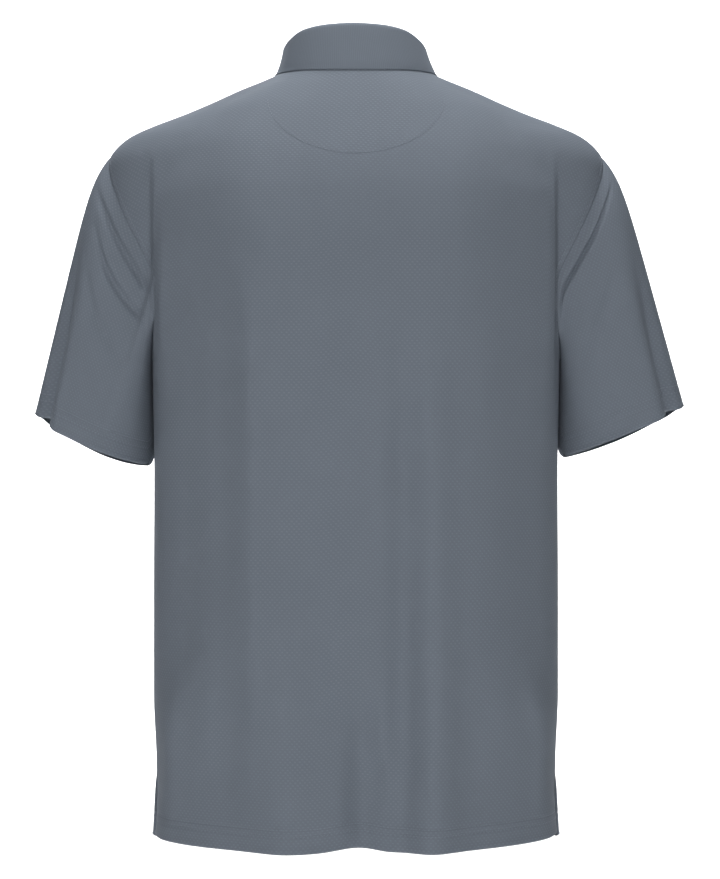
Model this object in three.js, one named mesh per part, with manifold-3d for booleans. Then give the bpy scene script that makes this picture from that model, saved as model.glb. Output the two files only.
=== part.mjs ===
// A men's short-sleeved polo shirt, size large, filled out as if it were worn.
// Millimetres. +X is the wearer's left, +Y the back and +Z up. The origin is the centre of
// the neck base, level with the inner ends of the shoulder seams.
//
// The body is a stack of rounded sections. A tube hangs from the shoulder blades, and a
// flatter form holds the shoulders out to the armholes. The back and the front are the two
// halves of the joined form, and each sleeve runs from an armhole to its own hem ring.

import * as THREE from 'three';
import Module from 'manifold-3d';
import { mergeVertices } from 'three/addons/utils/BufferGeometryUtils.js';

// Cloth
const CLOTH = 1.5;
const HEM_CLOTH = 2.4;
const HEM_DEPTH = 24;
const SEAM_GAP = 0.4;

// Levels
const HEM_Z = -764;
const VENT_TOP_Z = -694;
const VENT_SPREAD = 3;
const UNDERARM_Z = -290;
const SHOULDER_TIP_Z = -85;
const BACK_NECK_RISE = 2;
const FRONT_NECK_DROP = 72;
const FRONT_NECK_SHAPE = 2.2;

// The tube of the body: half width, depth to the back and front, and how square it is
const BODY = [
  { z: 4, width: 65, back: 57, front: 50, square: 2.2 },
  { z: -8, width: 80, back: 65, front: 58, square: 2.2 },
  { z: -20, width: 105, back: 73, front: 65, square: 2.25 },
  { z: -44, width: 152, back: 87, front: 77, square: 2.3 },
  { z: -84, width: 192, back: 104, front: 95, square: 2.45 },
  { z: -130, width: 203, back: 117, front: 114, square: 2.7 },
  { z: -180, width: 204, back: 124, front: 129, square: 2.8 },
  { z: -240, width: 203, back: 126, front: 137, square: 2.8 },
  { z: -290, width: 202.5, back: 124.5, front: 139, square: 2.7 },
  { z: -400, width: 201, back: 120, front: 136, square: 2.6 },
  { z: -520, width: 201.5, back: 118, front: 131, square: 2.5 },
  { z: -620, width: 201.5, back: 119, front: 129, square: 2.5 },
  { z: -694, width: 199, back: 122, front: 130, square: 2.2 },
  { z: -764, width: 202, back: 127, front: 132, square: 2.05 },
];

// The shoulder form that reaches past the tube to the armholes
const SHOULDER_SQUARE = 2.2;
const SHOULDER = [
  { z: 4, width: 65, depth: 44 },
  { z: 0, width: 70, depth: 46 },
  { z: -8, width: 87, depth: 50 },
  { z: -20, width: 117, depth: 56 },
  { z: -32, width: 143.5, depth: 60 },
  { z: -44, width: 172, depth: 65 },
  { z: -56, width: 204, depth: 70 },
  { z: -66, width: 225.5, depth: 74 },
  { z: -76, width: 238, depth: 77 },
  { z: -86, width: 245.5, depth: 80 },
  { z: -98, width: 249.5, depth: 82 },
  { z: -115, width: 251, depth: 83 },
  { z: -140, width: 251, depth: 83 },
  { z: -185, width: 247, depth: 81 },
  { z: -240, width: 228, depth: 70 },
  { z: -290, width: 194, depth: 50 },
  { z: -330, width: 150, depth: 30 },
];
const FORM_BLEND = 4;

// Where the flat middle of the back steps in to the slacker sides, by height
const BACK_STEP = [
  { z: -130, left: 106, right: 110 },
  { z: -300, left: 112, right: 116 },
  { z: -450, left: 118, right: 124 },
  { z: -560, left: 140, right: 140 },
  { z: -640, left: 168, right: 165 },
  { z: -694, left: 195, right: 195 },
];
const STEP = { leftHeight: 7, rightHeight: 5, leftSoft: 12, rightSoft: 17 };
const STEP_FADE = { start: -100, full: -190, fade: -520, end: -730 };

// Long soft folds: where each is, how far it leans by the time it is full, the heights
// where it starts, is full, starts to fade and ends, and its size
const BACK_FOLDS = [
  { x: 76, lean: -6, start: -430, full: -700, fade: -800, end: -900, spread: 36, height: 9 },
  { x: -76, lean: -4, start: -330, full: -680, fade: -800, end: -900, spread: 27, height: 9 },
  { x: -3, lean: -8, start: -540, full: -750, fade: -800, end: -900, spread: 25, height: -12 },
  { x: 193, lean: 0, start: -80, full: -150, fade: -260, end: -420, spread: 9, height: 4 },
  { x: -193, lean: 0, start: -80, full: -150, fade: -260, end: -420, spread: 9, height: 3 },
];
const FRONT_FOLDS = [
  { x: 104, lean: 10, start: -250, full: -520, fade: -800, end: -900, spread: 30, height: 8 },
  { x: -98, lean: -12, start: -260, full: -560, fade: -800, end: -900, spread: 27, height: 8 },
  { x: 30, lean: 6, start: -420, full: -720, fade: -800, end: -900, spread: 22, height: -6 },
  { x: -34, lean: -4, start: -480, full: -720, fade: -800, end: -900, spread: 20, height: -5 },
];
const SIDE_FADE = { start: 15, full: 62 };

// How much higher the back hem rides in its middle trough and at its corners
const HEM_LIFT = { above: 150, middleX: -6, middleSpread: 36, middle: 4, left: 2, right: 4 };

// The armhole seen from the side: an egg with its narrow end at the shoulder
const ARMHOLE = { back: 48, front: 45, egg: 0.3 };

// Each sleeve's hem ring and folds. Angles run from 0 outside through 90 at the back
// to 180 at the underarm
const SLEEVES = {
  left: {
    side: 1, outerX: 321, outerZ: -343, innerX: 205.5, innerZ: -392.5, depth: 57,
    backDip: 8, frontDip: 6,
    pleat: { ridge: 49, valley: 30, rise: 3, sink: 11, spread: 11, start: 0.3 },
    creases: [
      { from: 14, to: 112, start: 0.08, end: 0.15, sag: 0.05, depth: 4, width: 13 },
      { from: 30, to: 124, start: 0.27, end: 0.4, sag: 0.02, depth: 4, width: 14 },
    ],
  },
  right: {
    side: -1, outerX: 328, outerZ: -335, innerX: 206, innerZ: -386.5, depth: 57,
    backDip: 2, frontDip: 9,
    pleat: { ridge: 55, valley: 36, rise: 3, sink: 10, spread: 11, start: 0.3 },
    creases: [
      { from: 18, to: 110, start: 0.14, end: 0.21, sag: 0.06, depth: 4, width: 12 },
      { from: 34, to: 70, start: 0.42, end: 0.4, sag: 0.02, depth: 3, width: 14 },
    ],
  },
};
const CREASE_RIDGE = { share: 0.6, offset: 1.5, seamClear: 2, seamFull: 14 };
const CAP = { reach: 12, early: 0.05, late: 0.12 };
const BICEP = { rise: 8, sharp: 1.5 };
const SLEEVE_START = { seam: 0.45, underarm: 0.6 };

// The collar by the angle turned from the centre back: how high it stands, and where the
// edge of its fall lies on the shirt
const COLLAR_CLOTH = 1.8;
const COLLAR_ROLL = 3;
const COLLAR_LEAN = 0.24;
const COLLAR_SWAY = 0.06;
const COLLAR_FOOT = { inset: 1.9, lift: -0.2 };
const COLLAR_CLEAR = 1.0;
const FALL_BOW = 0.45;
const NECK_HALF = { x: 72, y: 60 };
const COLLAR_END = 178.6;
const COLLAR = [
  { turn: 0, stand: 39.3, edgeTurn: 0, edgeZ: -6 },
  { turn: 30, stand: 38.7, edgeTurn: 30, edgeZ: -5.5 },
  { turn: 52, stand: 34.4, edgeTurn: 52, edgeZ: -4.5 },
  { turn: 72, stand: 28, edgeTurn: 72, edgeZ: -4.5 },
  { turn: 90, stand: 23.5, edgeTurn: 89, edgeZ: -5 },
  { turn: 105, stand: 21.5, edgeTurn: 102, edgeZ: -9 },
  { turn: 120, stand: 21, edgeTurn: 114, edgeZ: -24 },
  { turn: 140, stand: 22.5, edgeTurn: 129, edgeZ: -52 },
  { turn: 160, stand: 24, edgeTurn: 144, edgeZ: -84 },
  { turn: 180, stand: 25, edgeTurn: 158, edgeZ: -109 },
];

// The button placket
const PLACKET = { halfWidth: 15, length: 152, cloth: 2.2, proud: 0.8 };
const SLOT = { fromY: -170, toY: -50, topZ: 20 };
const UNDER_PLACKET = { halfWidth: 18, cloth: 1.2, longer: 4, gap: 0.8 };
const BUTTON = { radius: 5.75, height: 2.6, rim: 0.7, dish: 0.6, holeRadius: 0.9, holeOffset: 1.6 };
const BUTTON_DROPS = [15, 63, 111];

// The half-moon patch inside the back of the neck
const HALF_MOON = {
  halfWidth: 86, cornerZ: -34, bottomZ: -92, neckHalf: 62, neckZ: -2.5, cloth: 1, gap: 0.8,
};

// How finely the pieces are divided, and how near the armhole a panel's columns crowd
const PANEL_COLUMNS = 32;
const ARMHOLE_STATIONS = 12;
const SLEEVE_COLUMNS = 28;
const COLLAR_COLUMNS = 40;
const EDGE_CROWDING = 0.13;

const COLOURS = { pique: 0x6d7580, rib: 0x6f7781, button: 0x5b626b };

const rad = THREE.MathUtils.degToRad;
const smoothstep = THREE.MathUtils.smoothstep;
const lerp = THREE.MathUtils.lerp;

// A smooth curve through one column of a table, with no overshoot between its rows
function curve(rows, at, key) {
  const xs = rows.map((row) => row[at]);
  const ys = rows.map((row) => row[key]);
  const sign = xs[1] > xs[0] ? 1 : -1;
  const secants = xs.slice(1).map((x, i) => (ys[i + 1] - ys[i]) / (x - xs[i]));
  const slopes = ys.map((_, i) => {
    const before = secants[Math.max(i - 1, 0)];
    const after = secants[Math.min(i, secants.length - 1)];
    return before * after <= 0 ? 0 : (2 * before * after) / (before + after);
  });
  return (x) => {
    if ((x - xs[0]) * sign <= 0) return ys[0];
    if ((x - xs.at(-1)) * sign >= 0) return ys.at(-1);
    let i = 0;
    while ((x - xs[i + 1]) * sign > 0) i += 1;
    const span = xs[i + 1] - xs[i];
    const t = (x - xs[i]) / span;
    const rise = 3 * t ** 2 - 2 * t ** 3;
    return ys[i] * (1 - rise) + ys[i + 1] * rise
      + span * (slopes[i] * (t ** 3 - 2 * t ** 2 + t) + slopes[i + 1] * (t ** 3 - t ** 2));
  };
}

const curves = (rows, at, keys) => Object.fromEntries(keys.map((key) => [key, curve(rows, at, key)]));
const body = curves(BODY, 'z', ['width', 'back', 'front', 'square']);
const shoulder = curves(SHOULDER, 'z', ['width', 'depth']);
const step = curves(BACK_STEP, 'z', ['left', 'right']);
const collar = curves(COLLAR, 'turn', ['stand', 'edgeTurn', 'edgeZ']);

// The distance from the middle to a rounded section's edge
function sectionRadius(angle, width, depth, square) {
  const across = Math.abs(Math.cos(angle)) / width;
  const along = Math.abs(Math.sin(angle)) / depth;
  return (across ** square + along ** square) ** (-1 / square);
}

function torsoRadius(angle, z) {
  const depth = Math.sin(angle) >= 0 ? body.back(z) : body.front(z);
  const tube = sectionRadius(angle, body.width(z), depth, body.square(z));
  const wings = sectionRadius(angle, shoulder.width(z), shoulder.depth(z), SHOULDER_SQUARE);
  return 0.5 * (tube + wings + Math.hypot(tube - wings, FORM_BLEND));
}

// The share of the way down from one height to another, eased
const between = (z, from, to) => smoothstep(from - z, 0, from - to);

// How far the cloth stands off the plain form, towards the back or the front
function foldHeight(folds, x, z) {
  return folds.reduce((sum, fold) => {
    const grown = between(z, fold.start, fold.full);
    const left = 1 - between(z, fold.fade, fold.end);
    const middle = fold.x + fold.lean * grown;
    return sum + fold.height * grown * left * Math.exp(-(((x - middle) / fold.spread) ** 2));
  }, 0);
}

function backStep(x, z) {
  const shown = between(z, STEP_FADE.start, STEP_FADE.full)
    * (1 - between(z, STEP_FADE.fade, STEP_FADE.end));
  const left = x > 0;
  const edge = left ? step.left(z) : step.right(z);
  const soft = left ? STEP.leftSoft : STEP.rightSoft;
  const height = left ? STEP.leftHeight : STEP.rightHeight;
  return height * shown * (1 - smoothstep(Math.abs(x), edge - soft, edge + soft));
}

function drape(x, y, z) {
  const shown = smoothstep(Math.abs(y), SIDE_FADE.start, SIDE_FADE.full);
  if (y > 0) return shown * (backStep(x, z) + foldHeight(BACK_FOLDS, x, z));
  return -shown * foldHeight(FRONT_FOLDS, x, z);
}

function torsoPoint(angle, z) {
  const radius = torsoRadius(angle, z);
  const x = radius * Math.cos(angle);
  const y = radius * Math.sin(angle);
  return new THREE.Vector3(x, y + drape(x, y, z), z);
}

function torsoNormal(angle, z) {
  const around = torsoPoint(angle + 0.002, z).sub(torsoPoint(angle - 0.002, z));
  const up = torsoPoint(angle, z + 0.3).sub(torsoPoint(angle, z - 0.3));
  return around.cross(up).normalize();
}

// The angle between low and high where a rising measure reaches a target
function solve(measure, target, low, high) {
  let [from, to] = [low, high];
  for (let i = 0; i < 40; i += 1) {
    const middle = (from + to) / 2;
    if (measure(middle) < target) from = middle;
    else to = middle;
  }
  return (from + to) / 2;
}

// The torso's angle where it is so deep, on the wearer's left, and where it is so far left
const angleAtDepth = (y, z) =>
  Math.sign(y) * solve((a) => torsoRadius(a, z) * Math.sin(a), Math.abs(y), 0, rad(60));
const frontAngleAt = (x, z) => -solve((a) => -torsoRadius(-a, z) * Math.cos(a), -x, 0, Math.PI);
const backAngleAt = (x, z) => solve((a) => -torsoRadius(a, z) * Math.cos(a), -x, 0, Math.PI);

// The armhole at an angle from 0 at the shoulder tip to half a turn at the underarm
const ARMHOLE_MIDDLE = (SHOULDER_TIP_Z + UNDERARM_Z) / 2;
const ARMHOLE_HALF = (SHOULDER_TIP_Z - UNDERARM_Z) / 2;
const armholeZ = (theta) => ARMHOLE_MIDDLE + ARMHOLE_HALF * Math.cos(theta);
const armholeY = (theta, depth) => depth * Math.sin(theta) * (1 - ARMHOLE.egg * Math.cos(theta));

// The angle at a panel's side edge: along the vent, the side seam, the armhole or the shoulder
function edgeAngle(face, z) {
  const seam = SEAM_GAP / 2;
  if (z < VENT_TOP_Z) {
    return (seam + VENT_SPREAD * ((VENT_TOP_Z - z) / (VENT_TOP_Z - HEM_Z))) / body.width(z);
  }
  if (z <= UNDERARM_Z || z >= SHOULDER_TIP_Z) return seam / torsoRadius(0, z);
  const theta = Math.acos((z - ARMHOLE_MIDDLE) / ARMHOLE_HALF);
  const depth = armholeY(theta, face > 0 ? ARMHOLE.back : ARMHOLE.front);
  return angleAtDepth(Math.max(depth, seam), z);
}

// How far a panel's rows are pulled towards the neckline in the middle
function neckPull(face, share) {
  const middle = Math.sin(Math.PI * share);
  return face > 0 ? BACK_NECK_RISE * middle ** 2 : -FRONT_NECK_DROP * middle ** FRONT_NECK_SHAPE;
}

function hemLift(angle) {
  const x = body.width(HEM_Z) * Math.cos(angle);
  const corner = x > 0 ? HEM_LIFT.left : HEM_LIFT.right;
  return HEM_LIFT.middle * Math.exp(-(((x - HEM_LIFT.middleX) / HEM_LIFT.middleSpread) ** 2))
    + corner * Math.cos(angle) ** 4;
}

// A panel's angle and height, by the share across from the wearer's left and by its row
function panelPlace(face, share, z) {
  const edge = edgeAngle(face, z);
  const crowd = Math.exp(-share / EDGE_CROWDING) - Math.exp((share - 1) / EDGE_CROWDING);
  const angle = face * (Math.PI * share + edge * crowd);
  const pull = Math.max(0, (z - UNDERARM_Z) / -UNDERARM_Z) ** 2;
  const lift = smoothstep(-z, -HEM_Z - HEM_LIFT.above, -HEM_Z) * (face > 0 ? hemLift(angle) : 0);
  return [angle, z + pull * neckPull(face, share) + lift];
}

// A closed wall of cloth between an outer surface and its copy moved in.
// The surface takes a column and a row, and its outward side is given by facing
function wall({ surface, columns, rows, thickness, facing = 1, closed = false, normalAt }) {
  const tiny = 1e-3;
  const outer = [];
  const inner = [];
  const wide = columns.length;
  const high = rows.length;
  const lowest = Math.min(columns[0], columns.at(-1));
  const highest = Math.max(columns[0], columns.at(-1));
  for (const row of rows) {
    for (const column of columns) {
      const point = surface(column, row);
      const before = closed ? column - tiny : Math.max(column - tiny, lowest);
      const after = closed ? column + tiny : Math.min(column + tiny, highest);
      const below = Math.max(row - tiny, Math.min(rows[0], rows.at(-1)));
      const above = Math.min(row + tiny, Math.max(rows[0], rows.at(-1)));
      const across = surface(after, row).sub(surface(before, row));
      const along = surface(column, above).sub(surface(column, below));
      let normal = across.cross(along).normalize().multiplyScalar(facing);
      if (normalAt) normal = normalAt(column, row, normal);
      outer.push(point);
      inner.push(point.clone().addScaledVector(normal, -thickness(column, row)));
    }
  }
  const count = outer.length;
  const faces = [];
  const quad = (a, b, c, d) => (facing > 0
    ? faces.push(a, b, c, a, c, d)
    : faces.push(a, c, b, a, d, c));
  const at = (i, j) => (j * wide) + (i % wide);
  const lastColumn = closed ? wide : wide - 1;
  for (let j = 0; j < high - 1; j += 1) {
    for (let i = 0; i < lastColumn; i += 1) {
      const [a, b, c, d] = [at(i, j), at(i + 1, j), at(i + 1, j + 1), at(i, j + 1)];
      if (outer[a].distanceTo(outer[c]) < outer[b].distanceTo(outer[d])) {
        quad(a, b, c, d);
        quad(count + a, count + d, count + c, count + b);
      } else {
        quad(b, c, d, a);
        quad(count + d, count + c, count + b, count + a);
      }
    }
  }
  const rim = (a, b) => quad(b, a, count + a, count + b);
  for (let i = 0; i < lastColumn; i += 1) {
    rim(at(i, 0), at(i + 1, 0));
    rim(at(i + 1, high - 1), at(i, high - 1));
  }
  for (let j = 0; j < high - 1 && !closed; j += 1) {
    rim(at(0, j + 1), at(0, j));
    rim(at(wide - 1, j), at(wide - 1, j + 1));
  }
  const geometry = new THREE.BufferGeometry().setFromPoints([...outer, ...inner]);
  geometry.setIndex(faces);
  return geometry;
}

const steps = (count, from = 0, to = 1) =>
  Array.from({ length: count + 1 }, (_, i) => lerp(from, to, i / count));

// The rows of a panel: the hem, the side, the armhole and the shoulder
const HEM_ROWS = [HEM_Z, HEM_Z + HEM_DEPTH, -716, VENT_TOP_Z];
const SIDE_ROWS = [-650, -605, -555, -505, -455, -405, -355, -318];
const ARMHOLE_ROWS = steps(ARMHOLE_STATIONS, Math.PI, 0).map((theta) => armholeZ(theta));
const SHOULDER_ROWS = [-75, -64, -52, -39, -26, -13, 0];
const PANEL_ROWS = [...HEM_ROWS, ...SIDE_ROWS, ...ARMHOLE_ROWS, ...SHOULDER_ROWS];

const hemmed = (z) => (z < HEM_Z + HEM_DEPTH + 1 ? HEM_CLOTH : CLOTH);

function panel(face) {
  return wall({
    surface: (share, z) => torsoPoint(...panelPlace(face, share, z)),
    columns: steps(PANEL_COLUMNS),
    rows: PANEL_ROWS,
    thickness: (share, z) => hemmed(z),
    facing: face,
  });
}

// One point of the armhole seam, on the torso, with the torso's angle and height there
function armholePlace(side, psi) {
  const turn = ((psi % (2 * Math.PI)) + 2 * Math.PI) % (2 * Math.PI);
  const atBack = turn <= Math.PI;
  const theta = atBack ? turn : 2 * Math.PI - turn;
  const z = armholeZ(theta);
  const y = armholeY(theta, atBack ? ARMHOLE.back : ARMHOLE.front) * (atBack ? 1 : -1);
  const angle = Math.abs(y) < 1e-9 ? 0 : angleAtDepth(y, z);
  return { angle: side > 0 ? angle : Math.PI - angle, z };
}

// The same point on the straight run between two of the armhole's stations, which the
// panels' edges follow too
function armholePoint(side, psi) {
  const place = (psi / Math.PI) * ARMHOLE_STATIONS;
  const [from, to] = [Math.floor(place), Math.floor(place) + 1].map((station) => {
    const { angle, z } = armholePlace(side, (station * Math.PI) / ARMHOLE_STATIONS);
    return torsoPoint(angle, z);
  });
  return from.lerp(to, place - Math.floor(place));
}

function hemRingPoint(sleeve, psi) {
  const { side, outerX, outerZ, innerX, innerZ, depth, backDip, frontDip } = sleeve;
  const across = (1 + Math.cos(psi)) / 2;
  const dip = Math.sin(psi) > 0 ? backDip : frontDip;
  return new THREE.Vector3(
    side * lerp(innerX, outerX, across),
    depth * Math.sin(psi),
    lerp(innerZ, outerZ, across) - dip * Math.sin(psi) ** 2,
  );
}

// The turn from one angle to another, in degrees
const degreesBetween = (psi, degrees) => {
  const turn = THREE.MathUtils.radToDeg(psi) - degrees;
  return ((((turn + 180) % 360) + 360) % 360) - 180;
};

// How far a sleeve stands off its plain form: its creases, and the pleat at its hem
function sleeveFold(sleeve, psi, t, length) {
  const { pleat } = sleeve;
  const wave = (degrees) => Math.exp(-((degreesBetween(psi, degrees) / pleat.spread) ** 2));
  let height = smoothstep(t, pleat.start, 1)
    * (pleat.rise * wave(pleat.ridge) - pleat.sink * wave(pleat.valley));
  for (const crease of sleeve.creases) {
    const share = degreesBetween(psi, crease.from) / (crease.to - crease.from);
    if (share > 0 && share < 1) {
      const line = lerp(crease.start, crease.end, share) + crease.sag * Math.sin(Math.PI * share);
      const off = ((t - line) * length) / crease.width;
      const shown = smoothstep(share, 0, 0.25) * (1 - smoothstep(share, 0.85, 1))
        * smoothstep(t * length, CREASE_RIDGE.seamClear, CREASE_RIDGE.seamFull);
      const ridge = CREASE_RIDGE.share * Math.exp(-((off + CREASE_RIDGE.offset) ** 2));
      height += shown * crease.depth * (ridge - Math.exp(-(off ** 2)));
    }
  }
  return height;
}

// How much of the underarm there is at an angle, from 0 at the top to 1
const underarm = (psi) => smoothstep(Math.sin(psi / 2) ** 2, 0.6, 0.97);

function sleevePoint(sleeve, psi, t) {
  const { side } = sleeve;
  const { angle, z } = armholePlace(side, psi);
  const seam = armholePoint(side, psi);
  const hem = hemRingPoint(sleeve, psi);
  const length = seam.distanceTo(hem);
  const next = armholePlace(side, psi + 0.01);
  const last = armholePlace(side, psi - 0.01);
  const run = torsoPoint(next.angle, next.z).sub(torsoPoint(last.angle, last.z));
  const leave = run.cross(torsoNormal(angle, z)).normalize().multiplyScalar(side);
  const lower = underarm(psi);
  const reach = CAP.reach * Math.abs(Math.cos(psi / 2));
  const early = lerp(CAP.early, CAP.late, Math.sin(psi / 2) ** 2);
  const out = new THREE.Vector3(side * Math.cos(psi), Math.sin(psi), 0);
  const away = leave.clone().lerp(out, Math.max(0, Math.cos(psi))).normalize();
  const radial = new THREE.Vector3(Math.cos(angle), Math.sin(angle), 0);
  const along = t + (SLEEVE_START.seam / length) * (1 - t);
  const bulge = BICEP.rise * Math.abs(Math.sin(psi)) ** BICEP.sharp * Math.sin(Math.PI * along);
  return seam.clone()
    .lerp(hem, along)
    .addScaledVector(away, reach * (1 - along) * (1 - Math.exp(-along / early)))
    .addScaledVector(leave, SLEEVE_START.seam * (1 - lower) * (1 - t))
    .addScaledVector(radial, SLEEVE_START.underarm * lower * (1 - t))
    .addScaledVector(out, bulge * (1 - lower))
    .addScaledVector(out, sleeveFold(sleeve, psi, along, length));
}

const SLEEVE_ROWS = [0, 0.03, 0.07, 0.12, 0.18, 0.26, 0.36, 0.48, 0.61, 0.74, 0.86, 0.91, 1];

// Columns lie closer together where the pleat is
const SLEEVE_ANGLES = steps(SLEEVE_COLUMNS).slice(0, -1)
  .map((u) => 2 * Math.PI * u - 0.4 * Math.sin(2 * Math.PI * u - rad(30)) - 0.4 * Math.sin(rad(30)));

function sleeveWall(sleeve) {
  const { side } = sleeve;
  return wall({
    surface: (psi, t) => sleevePoint(sleeve, psi, t),
    columns: SLEEVE_ANGLES,
    rows: SLEEVE_ROWS,
    thickness: (psi, t) => (t > 0.9 ? HEM_CLOTH : CLOTH),
    facing: -side,
    closed: true,
    normalAt: (psi, t, own) => {
      if (t > 0) return own;
      const { angle, z } = armholePlace(side, psi);
      return torsoNormal(angle, z).lerp(own, underarm(psi)).normalize();
    },
  });
}

// The neckline, where the collar is sewn on
function neckHeight(angle) {
  const depth = Math.sin(angle);
  return depth >= 0 ? BACK_NECK_RISE * depth ** 2
    : -FRONT_NECK_DROP * Math.abs(depth) ** FRONT_NECK_SHAPE;
}

const neckPoint = (angle) => torsoPoint(angle, neckHeight(angle));

// The collar's middle surface by the angle turned from the centre back and by the share
// of the way from its foot over the roll to the edge of its fall
const STAND_SHARE = 0.36;
const ROLL_SHARE = 0.5;

function collarPoint(turn, share) {
  const angle = rad(90 - turn);
  const size = Math.abs(turn);
  const neck = neckPoint(angle);
  const out = new THREE.Vector3(
    Math.cos(angle) / NECK_HALF.x ** 2,
    Math.sin(angle) / NECK_HALF.y ** 2,
    0,
  ).normalize();
  const foot = neck.clone().addScaledVector(out, -COLLAR_FOOT.inset);
  foot.z += COLLAR_FOOT.lift;
  const rise = new THREE.Vector3(0, 0, 1).addScaledVector(out, -COLLAR_LEAN).normalize();
  const straight = collar.stand(size) - COLLAR_ROLL - COLLAR_CLOTH / 2;
  const top = foot.clone().addScaledVector(rise, straight);
  if (share <= STAND_SHARE) return foot.lerp(top, share / STAND_SHARE);
  const middle = top.clone().addScaledVector(out, COLLAR_ROLL);
  if (share <= ROLL_SHARE) {
    const turned = Math.PI * ((share - STAND_SHARE) / (ROLL_SHARE - STAND_SHARE));
    return middle.addScaledVector(out, -COLLAR_ROLL * Math.cos(turned))
      .addScaledVector(rise, COLLAR_ROLL * Math.sin(turned));
  }
  const start = middle.addScaledVector(out, COLLAR_ROLL);
  const edgeAt = rad(90 - Math.sign(turn) * collar.edgeTurn(size));
  const edgeZ = collar.edgeZ(size);
  const end = torsoPoint(edgeAt, edgeZ)
    .addScaledVector(torsoNormal(edgeAt, edgeZ), COLLAR_CLOTH / 2 + COLLAR_CLEAR);
  const bend = start.clone().addScaledVector(rise, -FALL_BOW * start.distanceTo(end));
  return new THREE.QuadraticBezierCurve3(start, bend, end)
    .getPoint((share - ROLL_SHARE) / (1 - ROLL_SHARE));
}

// The collar leans a little to the wearer's left above the neck
function swayed(point) {
  point.x += COLLAR_SWAY * Math.max(0, point.z);
  return point;
}

// The collar's wall, with half its cloth on each side of the middle surface
function collarGeometry() {
  const half = COLLAR_CLOTH / 2;
  const surface = (turn, share) => swayed(collarPoint(turn, share));
  const tiny = { turn: 0.05, share: 0.002 };
  const normal = (turn, share) => {
    const across = surface(Math.min(turn + tiny.turn, COLLAR_END), share)
      .sub(surface(Math.max(turn - tiny.turn, -COLLAR_END), share));
    const along = surface(turn, Math.min(share + tiny.share, 1))
      .sub(surface(turn, Math.max(share - tiny.share, 0)));
    return across.cross(along).normalize();
  };
  const rolls = steps(4, STAND_SHARE, ROLL_SHARE);
  const falls = steps(5, ROLL_SHARE, 1).slice(1);
  return wall({
    surface: (turn, share) => surface(turn, share).addScaledVector(normal(turn, share), half),
    columns: steps(COLLAR_COLUMNS, -COLLAR_END, COLLAR_END),
    rows: [0, STAND_SHARE / 2, ...rolls, ...falls],
    thickness: () => COLLAR_CLOTH,
    facing: 1,
    normalAt: (turn, share) => normal(turn, share),
  });
}

// A strip of the front by distance from the middle and by height, moved out from the panel
function placketStrip(halfWidth, topDrop, bottomZ, moved, cloth) {
  return wall({
    surface: (x, share) => {
      const topZ = neckHeight(frontAngleAt(x, -FRONT_NECK_DROP)) - topDrop;
      const z = lerp(topZ, bottomZ, share);
      const angle = frontAngleAt(x, z);
      return torsoPoint(angle, z).addScaledVector(torsoNormal(angle, z), moved);
    },
    columns: steps(6, -halfWidth, halfWidth),
    rows: steps(10),
    thickness: () => cloth,
    facing: -1,
  });
}

function halfMoonGeometry() {
  const { halfWidth, cornerZ, bottomZ, neckHalf, neckZ, cloth, gap } = HALF_MOON;
  return wall({
    surface: (share, down) => {
      const sweep = (Math.PI / 2) * share;
      const x = lerp(neckHalf * share, halfWidth * Math.sin(sweep), down);
      const z = lerp(neckZ, lerp(cornerZ, bottomZ, Math.cos(sweep)), down);
      const angle = backAngleAt(x, z);
      return torsoPoint(angle, z).addScaledVector(torsoNormal(angle, z), -(CLOTH + gap));
    },
    columns: steps(18, -1, 1),
    rows: steps(6),
    thickness: () => cloth,
  });
}

const wasm = await Module();
wasm.setup();

function toSolid(geometry) {
  const plain = geometry.clone();
  plain.deleteAttribute('normal');
  plain.deleteAttribute('uv');
  const merged = mergeVertices(plain, 1e-4);
  return new wasm.Manifold(new wasm.Mesh({
    numProp: 3,
    vertProperties: merged.attributes.position.array,
    triVerts: new Uint32Array(merged.index.array),
  }));
}

function toGeometry(solid) {
  const { vertProperties, triVerts } = solid.getMesh();
  const geometry = new THREE.BufferGeometry();
  geometry.setAttribute('position', new THREE.BufferAttribute(vertProperties, 3));
  geometry.setIndex([...triVerts]);
  return geometry;
}

// The front with the slot that the placket fills
function frontGeometry() {
  const { halfWidth, length } = PLACKET;
  const bottomZ = -FRONT_NECK_DROP - length;
  const slot = new THREE.BoxGeometry(2 * halfWidth, SLOT.toY - SLOT.fromY, SLOT.topZ - bottomZ);
  slot.translate(0, (SLOT.fromY + SLOT.toY) / 2, (SLOT.topZ + bottomZ) / 2);
  return toGeometry(toSolid(panel(-1)).subtract(toSolid(slot)));
}

function buttonGeometry() {
  const { radius, height, rim, dish, holeRadius, holeOffset } = BUTTON;
  const profile = [
    [0, 0], [radius - rim, 0], [radius, rim], [radius, height - rim],
    [radius - rim, height], [radius - 2 * rim, height], [radius - 3 * rim, height - dish],
    [0, height - dish],
  ].map(([x, y]) => new THREE.Vector2(x, y));
  let solid = toSolid(new THREE.LatheGeometry(profile, 18));
  for (const [x, z] of [[1, 1], [1, -1], [-1, 1], [-1, -1]]) {
    const drill = new THREE.CylinderGeometry(holeRadius, holeRadius, 3 * height, 6);
    drill.translate(x * holeOffset * Math.SQRT1_2, 0, z * holeOffset * Math.SQRT1_2);
    solid = solid.subtract(toSolid(drill));
  }
  return toGeometry(solid);
}

const shirt = new THREE.Group();

function add(name, geometry, colour, roughness = 0.85) {
  const material = new THREE.MeshStandardMaterial({ color: colour, roughness, metalness: 0 });
  const mesh = new THREE.Mesh(geometry, material);
  mesh.name = name;
  shirt.add(mesh);
  return mesh;
}

add('back', panel(1), COLOURS.pique);
add('front', frontGeometry(), COLOURS.pique);
add('sleeve_left', sleeveWall(SLEEVES.left), COLOURS.pique);
add('sleeve_right', sleeveWall(SLEEVES.right), COLOURS.pique);
add('collar', collarGeometry(), COLOURS.rib);

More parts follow.
